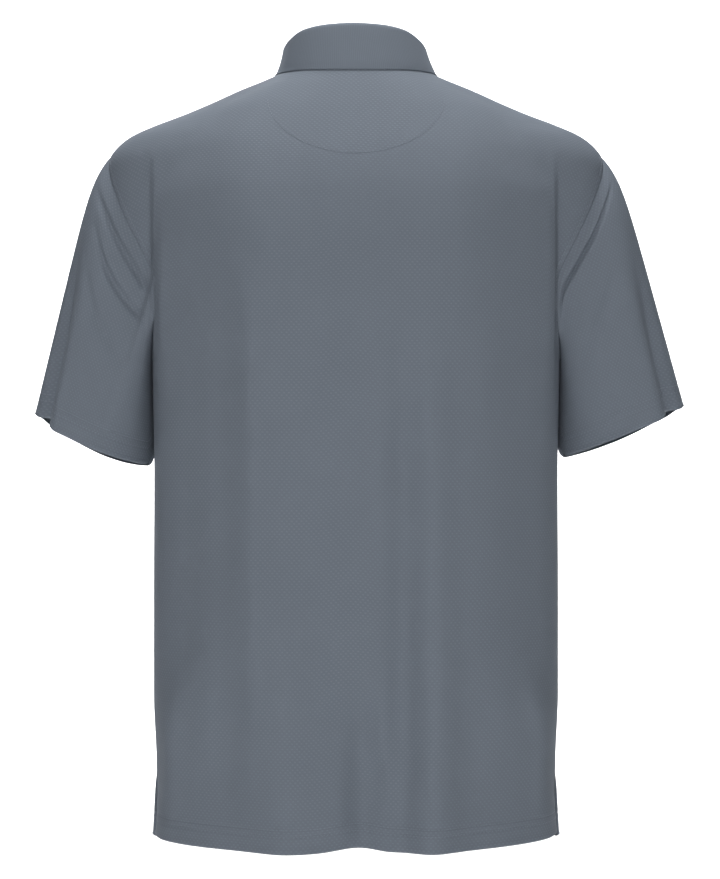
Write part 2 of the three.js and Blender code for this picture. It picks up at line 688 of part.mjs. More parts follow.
const placketBottom = -FRONT_NECK_DROP - PLACKET.length + SEAM_GAP;
add('placket_over', placketStrip(
  PLACKET.halfWidth - SEAM_GAP, 1, placketBottom, PLACKET.proud, PLACKET.cloth,
), COLOURS.pique);
add('placket_under', placketStrip(
  UNDER_PLACKET.halfWidth, 2, placketBottom - UNDER_PLACKET.longer,
  PLACKET.proud - PLACKET.cloth - UNDER_PLACKET.gap, UNDER_PLACKET.cloth,
), COLOURS.pique);
add('half_moon', halfMoonGeometry(), COLOURS.pique);

BUTTON_DROPS.forEach((drop, i) => {
  const z = -FRONT_NECK_DROP - drop;
  const angle = frontAngleAt(0, z);
  const normal = torsoNormal(angle, z);
  const button = add(`button_${i + 1}`, buttonGeometry(), COLOURS.button, 0.4);
  button.position.copy(torsoPoint(angle, z)).addScaledVector(normal, PLACKET.proud + SEAM_GAP);
  button.quaternion.setFromUnitVectors(new THREE.Vector3(0, 1, 0), normal);
});

export default shirt;
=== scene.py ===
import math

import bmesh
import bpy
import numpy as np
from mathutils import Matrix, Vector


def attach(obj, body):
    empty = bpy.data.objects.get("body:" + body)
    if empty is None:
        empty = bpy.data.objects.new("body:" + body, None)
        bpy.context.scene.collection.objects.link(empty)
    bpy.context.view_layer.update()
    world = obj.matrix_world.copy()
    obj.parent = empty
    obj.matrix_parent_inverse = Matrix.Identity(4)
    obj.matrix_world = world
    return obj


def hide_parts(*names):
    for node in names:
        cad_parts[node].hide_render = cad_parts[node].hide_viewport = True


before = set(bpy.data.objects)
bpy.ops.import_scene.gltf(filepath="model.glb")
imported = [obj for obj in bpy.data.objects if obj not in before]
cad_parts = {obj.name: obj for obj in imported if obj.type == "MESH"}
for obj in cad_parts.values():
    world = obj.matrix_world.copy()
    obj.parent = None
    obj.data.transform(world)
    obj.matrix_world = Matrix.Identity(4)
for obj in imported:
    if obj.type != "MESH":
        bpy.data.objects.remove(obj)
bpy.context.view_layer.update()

# A men's short-sleeved polo shirt, filled out as worn, seen from behind.
# The forms are worked out in millimetres in the frame's axes: +X is the wearer's left,
# +Y the back and +Z up, with the origin at the centre of the neck base.
# The panels, sleeves and collar repeat the solids' own curves on much finer grids, and add
# the creases, seams, stitches and knit that the solids leave out.

MM = 0.001

# The cloth's thickness, and how far up the hem and its two stitch lines are
CLOTH = 1.5
HEM_CLOTH = 2.4
HEM_DEPTH = 24
HEM_STITCHES = (17.0, 23.5)

# The main heights, and the shape of the neck
HEM_Z = -764
VENT_TOP_Z = -694
VENT_SPREAD = 3
UNDERARM_Z = -290
SHOULDER_TIP_Z = -85
BACK_NECK_RISE = 2
FRONT_NECK_DROP = 72
FRONT_NECK_SHAPE = 2.2


def table(columns, *rows):
    names = columns.split()
    return [dict(zip(names, row)) for row in rows]


# The tube of the body: half width, depth to the back and front, and how square it is
BODY = table(
    "z width back front square",
    (4, 65, 57, 50, 2.2),
    (-8, 80, 65, 58, 2.2),
    (-20, 105, 73, 65, 2.25),
    (-44, 152, 87, 77, 2.3),
    (-84, 192, 104, 95, 2.45),
    (-130, 203, 117, 114, 2.7),
    (-180, 204, 124, 129, 2.8),
    (-240, 203, 126, 137, 2.8),
    (-290, 202.5, 124.5, 139, 2.7),
    (-400, 201, 120, 136, 2.6),
    (-520, 201.5, 118, 131, 2.5),
    (-620, 201.5, 119, 129, 2.5),
    (-694, 199, 122, 130, 2.2),
    (-764, 202, 127, 132, 2.05),
)

# The shoulder form that reaches past the tube to the armholes
SHOULDER_SQUARE = 2.2
SHOULDER = table(
    "z width depth",
    (4, 65, 44),
    (0, 70, 46),
    (-8, 87, 50),
    (-20, 117, 56),
    (-32, 143.5, 60),
    (-44, 172, 65),
    (-56, 204, 70),
    (-66, 225.5, 74),
    (-76, 238, 77),
    (-86, 245.5, 80),
    (-98, 249.5, 82),
    (-115, 251, 83),
    (-140, 251, 83),
    (-185, 247, 81),
    (-240, 228, 70),
    (-290, 194, 50),
    (-330, 150, 30),
)
FORM_BLEND = 4

# Where the flat middle of the back steps in to the slacker sides, by height
BACK_STEP = table(
    "z left right",
    (-130, 124, 126),
    (-300, 128, 130),
    (-450, 132, 136),
    (-560, 148, 148),
    (-640, 172, 168),
    (-694, 195, 195),
)
STEP = dict(left_height=13, right_height=10, left_soft=34, right_soft=34, blend=80)
STEP_FADE = dict(start=-100, full=-190, fade=-520, end=-730)

# Long soft folds: where each is, how far it leans by the time it is full, the heights
# where it starts, is full, starts to fade and ends, and its size
FOLD_COLUMNS = "x lean start full fade end spread height"
BACK_FOLDS = table(
    FOLD_COLUMNS,
    (76, -6, -430, -700, -800, -900, 36, 9),
    (-76, -4, -330, -680, -800, -900, 27, 9),
    (-3, -8, -540, -750, -800, -900, 25, -12),
    (193, 0, -80, -150, -260, -420, 9, 4),
    (-193, 0, -80, -150, -260, -420, 9, 3),
)
FRONT_FOLDS = table(
    FOLD_COLUMNS,
    (104, 10, -250, -520, -800, -900, 30, 8),
    (-98, -12, -260, -560, -800, -900, 27, 8),
    (30, 6, -420, -720, -800, -900, 22, -6),
    (-34, -4, -480, -720, -800, -900, 20, -5),
)
SIDE_FADE = (15, 62)
HEM_LIFT = dict(above=150, middle_x=3, middle_spread=44, middle=4.5, left=2, right=4)

# Small creases that only the cloth has, in the same columns
BACK_CREASES = table(
    FOLD_COLUMNS,
    (-28, 3, -560, -610, -650, -700, 10, 2.2),
    (-43, -3, -180, -400, -800, -900, 14, -6.2),
    (-70, -6, -140, -360, -800, -900, 19, 5.4),
    (-6, 0, -560, -680, -800, -900, 12, -4.0),
    (78, -4, -140, -400, -800, -900, 24, 5.2),
    (-21, 0, -655, -684, -690, -722, 7, -2.6),
    (164, 24, -560, -665, -700, -775, 15, 9.0),
    (-164, -26, -560, -665, -700, -775, 15, 9.0),
    (166, 2, -130, -260, -540, -690, 30, -5.0),
    (-170, -2, -130, -260, -540, -690, 28, -3.0),
    (104, -3, -170, -290, -620, -800, 11, 3.2),
    (132, -3, -170, -290, -620, -800, 14, -2.4),
    (44, 4, -250, -380, -460, -600, 26, 1.0),
    (-40, -3, -200, -320, -420, -560, 30, 1.0),
)
FRONT_CREASES = table(
    FOLD_COLUMNS,
    (148, 22, -360, -480, -600, -720, 16, 4.4),
    (-152, -18, -380, -520, -620, -730, 18, 4.0),
    (66, 8, -300, -420, -520, -640, 19, -2.8),
    (-62, -10, -330, -430, -540, -650, 21, -2.6),
)

UPPER_BACK = dict(z=-108, spread=50, height=8.0, side_fade=(95, 168))

# The sharp tuck that runs down from each shoulder, where the back overhangs the armhole
TUCK = dict(left=200, right=196, top=(-70, -175), bottom=(-235, -330), soft=1.8,
            over=6.5, under=4.6, over_reach=15, under_reach=8)

# How far each panel's edge stands out from the other's at the open vents
VENT_STEP = dict(back=-1.8, front=1.4, reach=26, grown=24)

# The armhole seen from the side: an egg with its narrow end at the shoulder
ARMHOLE = dict(back=48, front=45, egg=0.3)

# Each sleeve's hem ring, the pleat at its hem and its creases. Angles run from 0 outside
# through 90 at the back to 180 at the underarm
CREASE_COLUMNS = "begin finish start end sag depth width"
PLEAT = dict(spread=10, start=0.2, full=0.85)
SLEEVES = dict(
    left=dict(
        side=1, outer_x=321, outer_z=-343, inner_x=202.4, inner_z=-394, depth=57,
        back_dip=7.5, front_dip=14,
        pleat=dict(ridge=54, valley=34, rise=4.5, sink=14, lift=2, drop=1),
        creases=table(
            CREASE_COLUMNS,
            (24, 124, 0.075, 0.060, 0.01, 3.8, 4.4),
            (38, 122, 0.13, 0.15, 0.085, 3.9, 5.4),
            (40, 100, 0.25, 0.50, 0.06, 2.4, 9),
            (250, 330, 0.30, 0.16, 0.04, 3.6, 9),
            (236, 300, 0.52, 0.36, 0.02, 2.8, 10),
        ),
    ),
    right=dict(
        side=-1, outer_x=328, outer_z=-335, inner_x=202.4, inner_z=-386.5, depth=57,
        back_dip=2, front_dip=9,
        pleat=dict(ridge=57, valley=38, rise=3, sink=10.5, lift=1, drop=1),
        creases=table(
            CREASE_COLUMNS,
            (26, 126, 0.045, 0.055, 0.015, 4.0, 2.1),
            (60, 108, 0.27, 0.44, 0.03, 2.2, 10),
            (246, 326, 0.26, 0.18, 0.04, 3.4, 9),
            (240, 310, 0.50, 0.40, 0.03, 2.6, 11),
        ),
    ),
)
CREASE_SHOWN = dict(full=0.4, fade=0.65)
CREASE_RIDGE = dict(share=0.1, offset=1.6, seam_clear=0, seam_full=7)

# At the hem the underarm swings forward, tucks in behind the body and is rounded off
UNDERARM_FOLD = dict(swing=-14, lift=9, full=8, from_degrees=27)
UNDERARM_SHARE = (0.6, 0.97)
UNDERARM_START = 0.6
CAP = dict(reach=13.5, early=0.085, late=0.12)
BICEP = dict(back=1.5, front=8, sharp=1.5)

# A sleeve's columns round it, and its rows as shares of the way from the seam to the hem
SLEEVE_COLUMNS = 132
SLEEVE_ROWS = dict(
    seam=(0, 0.0025, 0.005, 0.009, 0.014, 0.02),
    cap=(0.023, 0.11, 34),
    upper=(0.115, 0.25, 24),
    lower=(0.26, 0.89, 44),
    hem=(0.9, 0.91, 0.917, 0.923, 0.93, 0.937, 0.944, 0.951, 0.96, 0.972, 0.985, 0.994, 1),
)
SLEEVE_HEM_SHARE = 0.9
SEAM_TURN = 9

# The collar by the angle turned from the centre back
COLLAR_CLOTH = 1.8
COLLAR_ROLL = 3
COLLAR_LEAN = 0.24
COLLAR_SWAY = 0.06
COLLAR_FOOT = dict(inset=1.7, lift=-0.9, solid_lift=-0.2)
COLLAR_CLEAR = -0.25
COLLAR_EDGE = dict(share=0.55, depth=9, rounding=0.9, least=0.12)
COLLAR_END = 178.6
FALL_BOW = dict(back=0.78, front=0.45, fade=(80, 110))
NECK_HALF = (72, 60)
STAND_SHARE = 0.36
ROLL_SHARE = 0.5
COLLAR = table(
    "turn stand edge_turn edge_z",
    (0, 41.4, 0, -6),
    (30, 40.6, 30, -5.5),
    (52, 38.2, 52, -4.5),
    (72, 31.2, 72, -4.5),
    (90, 24.3, 89, -5),
    (105, 21.5, 102, -9),
    (120, 21, 114, -24),
    (140, 22.5, 129, -52),
    (160, 24, 144, -84),
    (180, 25, 158, -109),
)

# The collar's columns by their turn, closer at its two ends, and its rows from foot to edge
COLLAR_COLUMNS = dict(end_turn=150, at_end=40, between=181)
COLLAR_ROWS = dict(stand=9, roll=11, fall=22, fall_end=0.97, edge=(0.97, 0.982, 0.992, 1.0), measured=12)

# The placket, its buttons and the half-moon patch
PLACKET = dict(half=15, length=152, proud=0.8, cloth=2.2, top_drop=0.6)
UNDER_PLACKET = dict(half=18, cloth=1.2, longer=4, gap=0.8, top_drop=2)
PLACKET_EDGE = dict(sink=0.5, spread=0.7, stitch=2.6, groove=0.6)
PLACKET_GRID = dict(columns=41, rows=120)
UNDER_PLACKET_GRID = dict(columns=25, rows=70)
PLACKET_STITCHES = dict(side_end=-3, cross_rows=(-4, -16), cross_inset=4)
BUTTON = dict(gap=0.3, hole=0.85, hole_at=1.6, sides=40, hole_sides=16, drill=9, sharp_degrees=35)
BUTTON_PROFILE = table(
    "radius height",
    (4.6, 0),
    (5.4, 0.35),
    (5.75, 1.1),
    (5.72, 1.7),
    (5.4, 2.3),
    (4.9, 2.58),
    (4.3, 2.5),
    (3.7, 2.1),
    (3.2, 1.85),
)
BUTTON_DROPS = (15, 63, 111)
THREAD_BAR = dict(height=1.75, strands=(-0.22, 0.22), radius=0.24, arch=0.35, sunk=0.2, sides=6, rings=7)
HALF_MOON = dict(half=86, corner=-34, bottom=-92, neck_half=62, neck_z=-2.5, cloth=1, gap=0.5)
HALF_MOON_GRID = dict(columns=61, rows=30)

# The panels' columns, as shares of the way across, and their rows, by height above the hem and
# then by height
PANEL = dict(edge=0.013, tuck_end=0.09, fine=0.0022, coarse=0.0075, middle=52)
PANEL_EDGE_COLUMNS = (0, 0.18, 0.36, 0.55, 0.75)
PANEL_HEM_ROWS = (0, 0.7, 1.5, 3, 6, 9.5, 13, 15.2, 16.2, 17, 17.8, 18.9, 20.5, 21.9, 22.8,
                  23.5, 24.3, 25.4, 27.5, 31)
PANEL_ROWS = dict(first=35.5, pitch=4.6, last_z=-2.5, top=(-1.2, -0.5, 0.0))
EDGE_CROWDING = 0.13

# Sewing
STITCH = dict(length=2.5, pitch=3.3, width=0.6, sunk=0.02, arch=0.28, end=0.55, sides=5, rings=4)
SEAM = dict(sink=0.15, spread=0.9)
HEM_ROLL = dict(sink=1.8, spread=1.1, lip=0.9, lip_at=2.2, lip_spread=1.1)
TOPSTITCH = 5.5
VENT_STITCH = 6.0
GROOVE = dict(depth=0.32, spread=0.9)
MOON_GROOVE = dict(depth=0.12, flat=0.8, points=201)
MOON_STITCH = dict(sunk=0.12, points=121)

# How far the stitch lines stop short of, or run past, the ends of the armhole and the vent
ARM_STITCH_ENDS = dict(low=3, high=2)
VENT_STITCH_ENDS = dict(low=2, high=6, groove=8)

# The knit's staggered dots: the distance between them, and how narrow and short each one is
KNIT = dict(across=4.7, along=2.5, narrow=3.4, short=2.6)
COLLAR_RIB = dict(across=0.8, along=0.6)

# How exactly the forms are worked out
NORMAL_STEP = dict(turn=0.002, rise=0.3, psi=0.01)
HALVINGS = 40
SIDE_LIMIT = math.radians(60)
LEAST_DEPTH = 1e-3


def curve(rows, at, key):
    """A smooth curve through one column of a table, with no overshoot between its rows."""
    xs = np.array([row[at] for row in rows], float)
    ys = np.array([row[key] for row in rows], float)
    if xs[1] < xs[0]:
        xs, ys = xs[::-1], ys[::-1]
    secants = np.diff(ys) / np.diff(xs)
    before = np.concatenate([secants[:1], secants])
    after = np.concatenate([secants, secants[-1:]])
    total = np.where(before + after == 0, 1, before + after)
    slopes = np.where(before * after <= 0, 0, 2 * before * after / total)

    def at_point(x):
        x = np.clip(np.asarray(x, float), xs[0], xs[-1])
        i = np.clip(np.searchsorted(xs, x, side="right") - 1, 0, len(xs) - 2)
        span = xs[i + 1] - xs[i]
        t = (x - xs[i]) / span
        rise = 3 * t**2 - 2 * t**3
        bend = slopes[i] * (t**3 - 2 * t**2 + t) + slopes[i + 1] * (t**3 - t**2)
        return ys[i] * (1 - rise) + ys[i + 1] * rise + span * bend

    return at_point


body = {key: curve(BODY, "z", key) for key in ("width", "back", "front", "square")}
shoulder = {key: curve(SHOULDER, "z", key) for key in ("width", "depth")}
step = {key: curve(BACK_STEP, "z", key) for key in ("left", "right")}
collar = {key: curve(COLLAR, "turn", key) for key in ("stand", "edge_turn", "edge_z")}


def smoothstep(x, low, high):
    t = np.clip((np.asarray(x, float) - low) / (high - low), 0, 1)
    return t * t * (3 - 2 * t)


def lerp(a, b, t):
    return a + (b - a) * t


def between(z, start, finish):
    """The share of the way down from one height to another, eased."""
    return smoothstep(start - z, 0, start - finish)


def bump(x, spread):
    return np.exp(-((x / spread) ** 2))


def unit(v):
    return v / np.maximum(np.linalg.norm(v, axis=-1, keepdims=True), 1e-9)


def section_radius(angle, width, depth, square):
    across = np.abs(np.cos(angle)) / width
    along = np.abs(np.sin(angle)) / depth
    return (across**square + along**square) ** (-1 / square)


def torso_radius(angle, z):
    depth = np.where(np.sin(angle) >= 0, body["back"](z), body["front"](z))
    tube = section_radius(angle, body["width"](z), depth, body["square"](z))
    wings = section_radius(angle, shoulder["width"](z), shoulder["depth"](z), SHOULDER_SQUARE)
    return 0.5 * (tube + wings + np.hypot(tube - wings, FORM_BLEND))


def fold_height(folds, x, z):
    total = np.zeros(np.broadcast(x, z).shape)
    for fold in folds:
        grown = between(z, fold["start"], fold["full"])
        left = 1 - between(z, fold["fade"], fold["end"])
        middle = fold["x"] + fold["lean"] * grown
        total = total + fold["height"] * grown * left * bump(x - middle, fold["spread"])
    return total


def back_step(x, z):
    shown = between(z, STEP_FADE["start"], STEP_FADE["full"])
    shown = shown * (1 - between(z, STEP_FADE["fade"], STEP_FADE["end"]))
    left = x > 0
    edge = np.where(left, step["left"](z), step["right"](z))
    soft = np.where(left, STEP["left_soft"], STEP["right_soft"])
    leftward = smoothstep(x, -STEP["blend"], STEP["blend"])
    height = lerp(STEP["right_height"], STEP["left_height"], leftward)
    return height * shown * (1 - smoothstep((np.abs(x) - edge) / soft, -1, 1))


def tuck(x, z):
    """A step down from the back to the armhole, steepest at its edge."""
    off = np.abs(x) - np.where(x > 0, TUCK["left"], TUCK["right"])
    shown = between(z, *TUCK["top"]) * (1 - between(z, *TUCK["bottom"]))
    over = TUCK["over"] * np.exp(-np.abs(off) / TUCK["over_reach"])
    under = -TUCK["under"] * np.exp(-np.abs(off) / TUCK["under_reach"])
    return shown * lerp(over, under, smoothstep(off, -TUCK["soft"], TUCK["soft"]))


def upper_back(x, z):
    """How much prouder the cloth hangs over the shoulder blades than its solid."""
    beside = 1 - smoothstep(np.abs(x), *UPPER_BACK["side_fade"])
    return UPPER_BACK["height"] * bump(z - UPPER_BACK["z"], UPPER_BACK["spread"]) * beside


def drape(x, y, z):
    shown = smoothstep(np.abs(y), *SIDE_FADE)
    back = back_step(x, z) + upper_back(x, z) + tuck(x, z)
    back = back + fold_height(BACK_FOLDS, x, z) + fold_height(BACK_CREASES, x, z)
    front = fold_height(FRONT_FOLDS, x, z) + fold_height(FRONT_CREASES, x, z)
    return shown * np.where(y > 0, back, -front)


def torso_point(angle, z):
    angle, z = np.broadcast_arrays(np.asarray(angle, float), np.asarray(z, float))
    radius = torso_radius(angle, z)
    x = radius * np.cos(angle)
    y = radius * np.sin(angle)
    return np.stack([x, y + drape(x, y, z), z], axis=-1)


def torso_normal(angle, z):
    turn, rise = NORMAL_STEP["turn"], NORMAL_STEP["rise"]
    around = torso_point(angle + turn, z) - torso_point(angle - turn, z)
    up = torso_point(angle, z + rise) - torso_point(angle, z - rise)
    return unit(np.cross(around, up))


def solve(measure, target, low, high):
    """The angle between low and high where a rising measure reaches a target."""
    low = np.broadcast_to(np.asarray(low, float), np.shape(target)).copy()
    high = np.broadcast_to(np.asarray(high, float), np.shape(target)).copy()
    for _ in range(HALVINGS):
        middle = (low + high) / 2
        below = measure(middle) < target
        low = np.where(below, middle, low)
        high = np.where(below, high, middle)
    return (low + high) / 2


def angle_at_depth(y, z):
    y = np.asarray(y, float)
    found = solve(lambda a: torso_radius(np.sign(y) * a, z) * np.sin(a), np.abs(y), 0, SIDE_LIMIT)
    return np.sign(y) * found


def angle_at_x(face, x, z):
    x, z = np.broadcast_arrays(np.asarray(x, float), np.asarray(z, float))
    return face * solve(lambda a: -torso_radius(face * a, z) * np.cos(a), -x, 0, math.pi)


ARMHOLE_MIDDLE = (SHOULDER_TIP_Z + UNDERARM_Z) / 2
ARMHOLE_HALF = (SHOULDER_TIP_Z - UNDERARM_Z) / 2


def armhole_y(theta, depth):
    return depth * np.sin(theta) * (1 - ARMHOLE["egg"] * np.cos(theta))


def edge_angle(face, z):
    """The angle at a panel's side edge: along the vent, side seam, armhole or shoulder."""
    z = np.asarray(z, float)
    open_vent = VENT_SPREAD * np.clip((VENT_TOP_Z - z) / (VENT_TOP_Z - HEM_Z), 0, 1)
    vent = open_vent / body["width"](z)
    theta = np.arccos(np.clip((z - ARMHOLE_MIDDLE) / ARMHOLE_HALF, -1, 1))
    depth = armhole_y(theta, ARMHOLE["back"] if face > 0 else ARMHOLE["front"])
    inside = (z > UNDERARM_Z) & (z < SHOULDER_TIP_Z)
    depth = np.where(inside, np.maximum(depth, LEAST_DEPTH), LEAST_DEPTH)
    return np.where(inside, angle_at_depth(depth, z), vent)


def neck_height(angle):
    depth = np.sin(angle)
    front = -FRONT_NECK_DROP * np.abs(depth) ** FRONT_NECK_SHAPE
    return np.where(depth >= 0, BACK_NECK_RISE * depth**2, front)


def hem_lift(angle):
    x = body["width"](HEM_Z) * np.cos(angle)
    corner = np.where(x > 0, HEM_LIFT["left"], HEM_LIFT["right"])
    middle = HEM_LIFT["middle"] * bump(x - HEM_LIFT["middle_x"], HEM_LIFT["middle_spread"])
    return middle + corner * np.cos(angle) ** 4


def panel_place(face, share, z):
    edge = edge_angle(face, z)
    crowd = np.exp(-share / EDGE_CROWDING) - np.exp((share - 1) / EDGE_CROWDING)
    angle = face * (math.pi * share + edge * crowd)
    middle = np.sin(math.pi * share)
    neck = BACK_NECK_RISE * middle**2 if face > 0 else -FRONT_NECK_DROP * middle**FRONT_NECK_SHAPE
    pull = np.maximum(0, (z - UNDERARM_Z) / -UNDERARM_Z) ** 2
    lift = smoothstep(-z, -HEM_Z - HEM_LIFT["above"], -HEM_Z) * (hem_lift(angle) if face > 0 else 0)
    return angle, z + pull * neck + lift


def armhole_place(side, psi):
    turn = np.mod(psi, 2 * math.pi)
    at_back = turn <= math.pi
    theta = np.where(at_back, turn, 2 * math.pi - turn)
    z = ARMHOLE_MIDDLE + ARMHOLE_HALF * np.cos(theta)
    y = armhole_y(theta, np.where(at_back, ARMHOLE["back"], ARMHOLE["front"]))
    y = np.maximum(y, LEAST_DEPTH) * np.where(at_back, 1, -1)
    angle = angle_at_depth(y, z)
    return (angle if side > 0 else math.pi - angle), z


def hem_ring(sleeve, psi):
    across = (1 + np.cos(psi)) / 2
    dip = np.where(np.sin(psi) > 0, sleeve["back_dip"], sleeve["front_dip"])
    x = sleeve["side"] * lerp(sleeve["inner_x"], sleeve["outer_x"], across)
    y = sleeve["depth"] * np.sin(psi)
    y = y + UNDERARM_FOLD["swing"] * (1 - across) ** 2
    z = lerp(sleeve["inner_z"], sleeve["outer_z"], across) - dip * np.sin(psi) ** 2
    from_underarm = np.abs(degrees_between(psi, 180))
    lifted = 1 - smoothstep(from_underarm, UNDERARM_FOLD["full"], UNDERARM_FOLD["from_degrees"])
    z = z + UNDERARM_FOLD["lift"] * lifted
    pleat = sleeve["pleat"]
    z = z + pleat["lift"] * bump(degrees_between(psi, pleat["valley"]), PLEAT["spread"])
    z = z - pleat["drop"] * bump(degrees_between(psi, -pleat["valley"]), PLEAT["spread"])
    return np.stack([x, y, z], axis=-1)


def degrees_between(psi, degrees):
    return np.mod(np.degrees(psi) - degrees + 180, 360) - 180


def sleeve_fold(sleeve, psi, t, length):
    pleat = sleeve["pleat"]
    ridge = bump(degrees_between(psi, pleat["ridge"]), PLEAT["spread"])
    valley = bump(degrees_between(psi, pleat["valley"]), PLEAT["spread"])
    grown = smoothstep(t, PLEAT["start"], PLEAT["full"])
    height = grown * (pleat["rise"] * ridge - pleat["sink"] * valley)
    for crease in sleeve["creases"]:
        share = np.mod(np.degrees(psi) - crease["begin"] + 90, 360) - 90
        share = np.clip(share / (crease["finish"] - crease["begin"]), 0, 1)
        line = lerp(crease["start"], crease["end"], share)
        line = line + crease["sag"] * np.sin(math.pi * share)
        off = ((t - line) * length) / crease["width"]
        shown = smoothstep(share, 0, CREASE_SHOWN["full"]) * (1 - smoothstep(share, CREASE_SHOWN["fade"], 1))
        shown = shown * smoothstep(t * length, CREASE_RIDGE["seam_clear"], CREASE_RIDGE["seam_full"])
        ridge = CREASE_RIDGE["share"] * bump(off + CREASE_RIDGE["offset"], 1)
        height = height + shown * crease["depth"] * (ridge - bump(off, 1))
    return height


def underarm(psi):
    return smoothstep(np.sin(psi / 2) ** 2, *UNDERARM_SHARE)


def sleeve_point(sleeve, psi, t):
    side = sleeve["side"]
    psi, t = np.broadcast_arrays(np.asarray(psi, float), np.asarray(t, float))
    angle, z = armhole_place(side, psi)
    seam = torso_point(angle, z)
    hem = hem_ring(sleeve, psi)
    length = np.linalg.norm(hem - seam, axis=-1)
    after = torso_point(*armhole_place(side, psi + NORMAL_STEP["psi"]))
    before = torso_point(*armhole_place(side, psi - NORMAL_STEP["psi"]))
    leave = unit(np.cross(after - before, torso_normal(angle, z))) * side
    lower = underarm(psi)
    reach = CAP["reach"] * np.abs(np.cos(psi / 2))
    early = lerp(CAP["early"], CAP["late"], np.sin(psi / 2) ** 2)
    out = np.stack([side * np.cos(psi), np.sin(psi), 0 * psi], axis=-1)
    top = np.maximum(0, np.cos(psi))[..., None]
    away = unit(lerp(leave, out, top))
    radial = np.stack([np.cos(angle), np.sin(angle), 0 * psi], axis=-1)
    full = np.where(np.sin(psi) > 0, BICEP["back"], BICEP["front"])
    bulge = full * np.abs(np.sin(psi)) ** BICEP["sharp"] * np.sin(math.pi * t)
    point = seam + (hem - seam) * t[..., None]
    point = point + away * (reach * (1 - t) * (1 - np.exp(-t / early)))[..., None]
    point = point + radial * (UNDERARM_START * lower * (1 - t))[..., None]
    return point + out * (bulge * (1 - lower) + sleeve_fold(sleeve, psi, t, length))[..., None]


# Meshes

def grid_normals(points, closed):
    if closed:
        across = np.roll(points, -1, axis=1) - np.roll(points, 1, axis=1)
    else:
        across = np.gradient(points, axis=1)
    along = np.gradient(points, axis=0)
    return unit(np.cross(across, along))


def arc_lengths(points, axis):
    lengths = np.linalg.norm(np.diff(points, axis=axis), axis=-1)
    start = np.zeros_like(np.take(lengths, [0], axis=axis))
    return np.concatenate([start, np.cumsum(lengths, axis=axis)], axis=axis)


def add_object(name, data):
    made = bpy.data.objects.new(name, data)
    bpy.context.scene.collection.objects.link(made)
    return made


def object_from(name, work):
    mesh = bpy.data.meshes.new(name)
    work.to_mesh(mesh)
    work.free()
    return add_object(name, mesh)


def smooth(mesh):
    mesh.polygons.foreach_set("use_smooth", [True] * len(mesh.polygons))


def new_object(name, vertices, faces, uvs, material):
    mesh = bpy.data.meshes.new(name)
    mesh.from_pydata((np.asarray(vertices) * MM).tolist(), [], faces.tolist())
    layer = mesh.uv_layers.new(name="cloth_mm")
    layer.data.foreach_set("uv", np.asarray(uvs, float)[faces.ravel()].ravel())
    mesh.materials.append(material)
    mesh.update()
    made = add_object(name, mesh)
    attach(made, "root")
    return made


def shell(name, outer, normals, thickness, material, uv, closed=False):
    """A closed wall between a grid of points and its copy moved against the normals. Where
    the grid closes on itself, uv has one column more."""
    high, wide = outer.shape[:2]
    inner = outer - normals * np.broadcast_to(thickness, (high, wide))[..., None]
    if closed:
        outer = np.concatenate([outer, outer[:, :1]], axis=1)
        inner = np.concatenate([inner, inner[:, :1]], axis=1)
        wide += 1
    count = high * wide
    index = np.arange(count).reshape(high, wide)
    a, b, c, d = index[:-1, :-1], index[:-1, 1:], index[1:, 1:], index[1:, :-1]
    face = np.stack([a, b, c, d], axis=-1).reshape(-1, 4)
    back = np.stack([a, d, c, b], axis=-1).reshape(-1, 4) + count
    rims = []

    def rim(line, flip):
        p, q = line[:-1], line[1:]
        quad = [q, p, p + count, q + count] if flip else [p, q, q + count, p + count]
        rims.append(np.stack(quad, axis=-1))

    rim(index[0], True)
    rim(index[-1], False)
    if not closed:
        rim(index[:, 0], False)
        rim(index[:, -1], True)
    faces = np.concatenate([face, back] + rims)
    vertices = np.concatenate([outer.reshape(-1, 3), inner.reshape(-1, 3)])
    uvs = np.concatenate([uv.reshape(-1, 2)] * 2)
    made = new_object(f"{name}_cloth", vertices, faces, uvs, material)
    tidy(made)
    return made


def tidy(made):
    """Joins the closing column and turns every face outwards."""
    work = bmesh.new()
    work.from_mesh(made.data)
    bmesh.ops.remove_doubles(work, verts=work.verts, dist=1e-7)
    bmesh.ops.recalc_face_normals(work, faces=work.faces)
    work.to_mesh(made.data)
    work.free()
    smooth(made.data)
    made.data.update()


def grooves(distance, lines):
    return sum(GROOVE["depth"] * bump(distance - line, GROOVE["spread"]) for line in lines)


def hem_roll(distance):
    """A hem's rolled edge, which turns in under a slight lip."""
    lip = HEM_ROLL["lip"] * bump(distance - HEM_ROLL["lip_at"], HEM_ROLL["lip_spread"])
    return HEM_ROLL["sink"] * bump(distance, HEM_ROLL["spread"]) - lip


# Every thread on the shirt is gathered here and made into one piece at the end
stitches = dict(points=[], faces=[])


def add_tube(centres, radii, side, up, sides):
    """An open tube round a line of centres, with its own directions and radius at each."""
    base = len(stitches["points"])
    for centre, radius, sideways, upward in zip(centres, radii, side, up):
        for k in range(sides):
            turn = 2 * math.pi * k / sides
            offset = sideways * math.cos(turn) + upward * math.sin(turn)
            stitches["points"].append(centre + offset * radius)
    for j in range(len(centres) - 1):
        for k in range(sides):
            a = base + j * sides + k
            b = base + j * sides + (k + 1) % sides
            stitches["faces"].append((a, b, b + sides, a + sides))


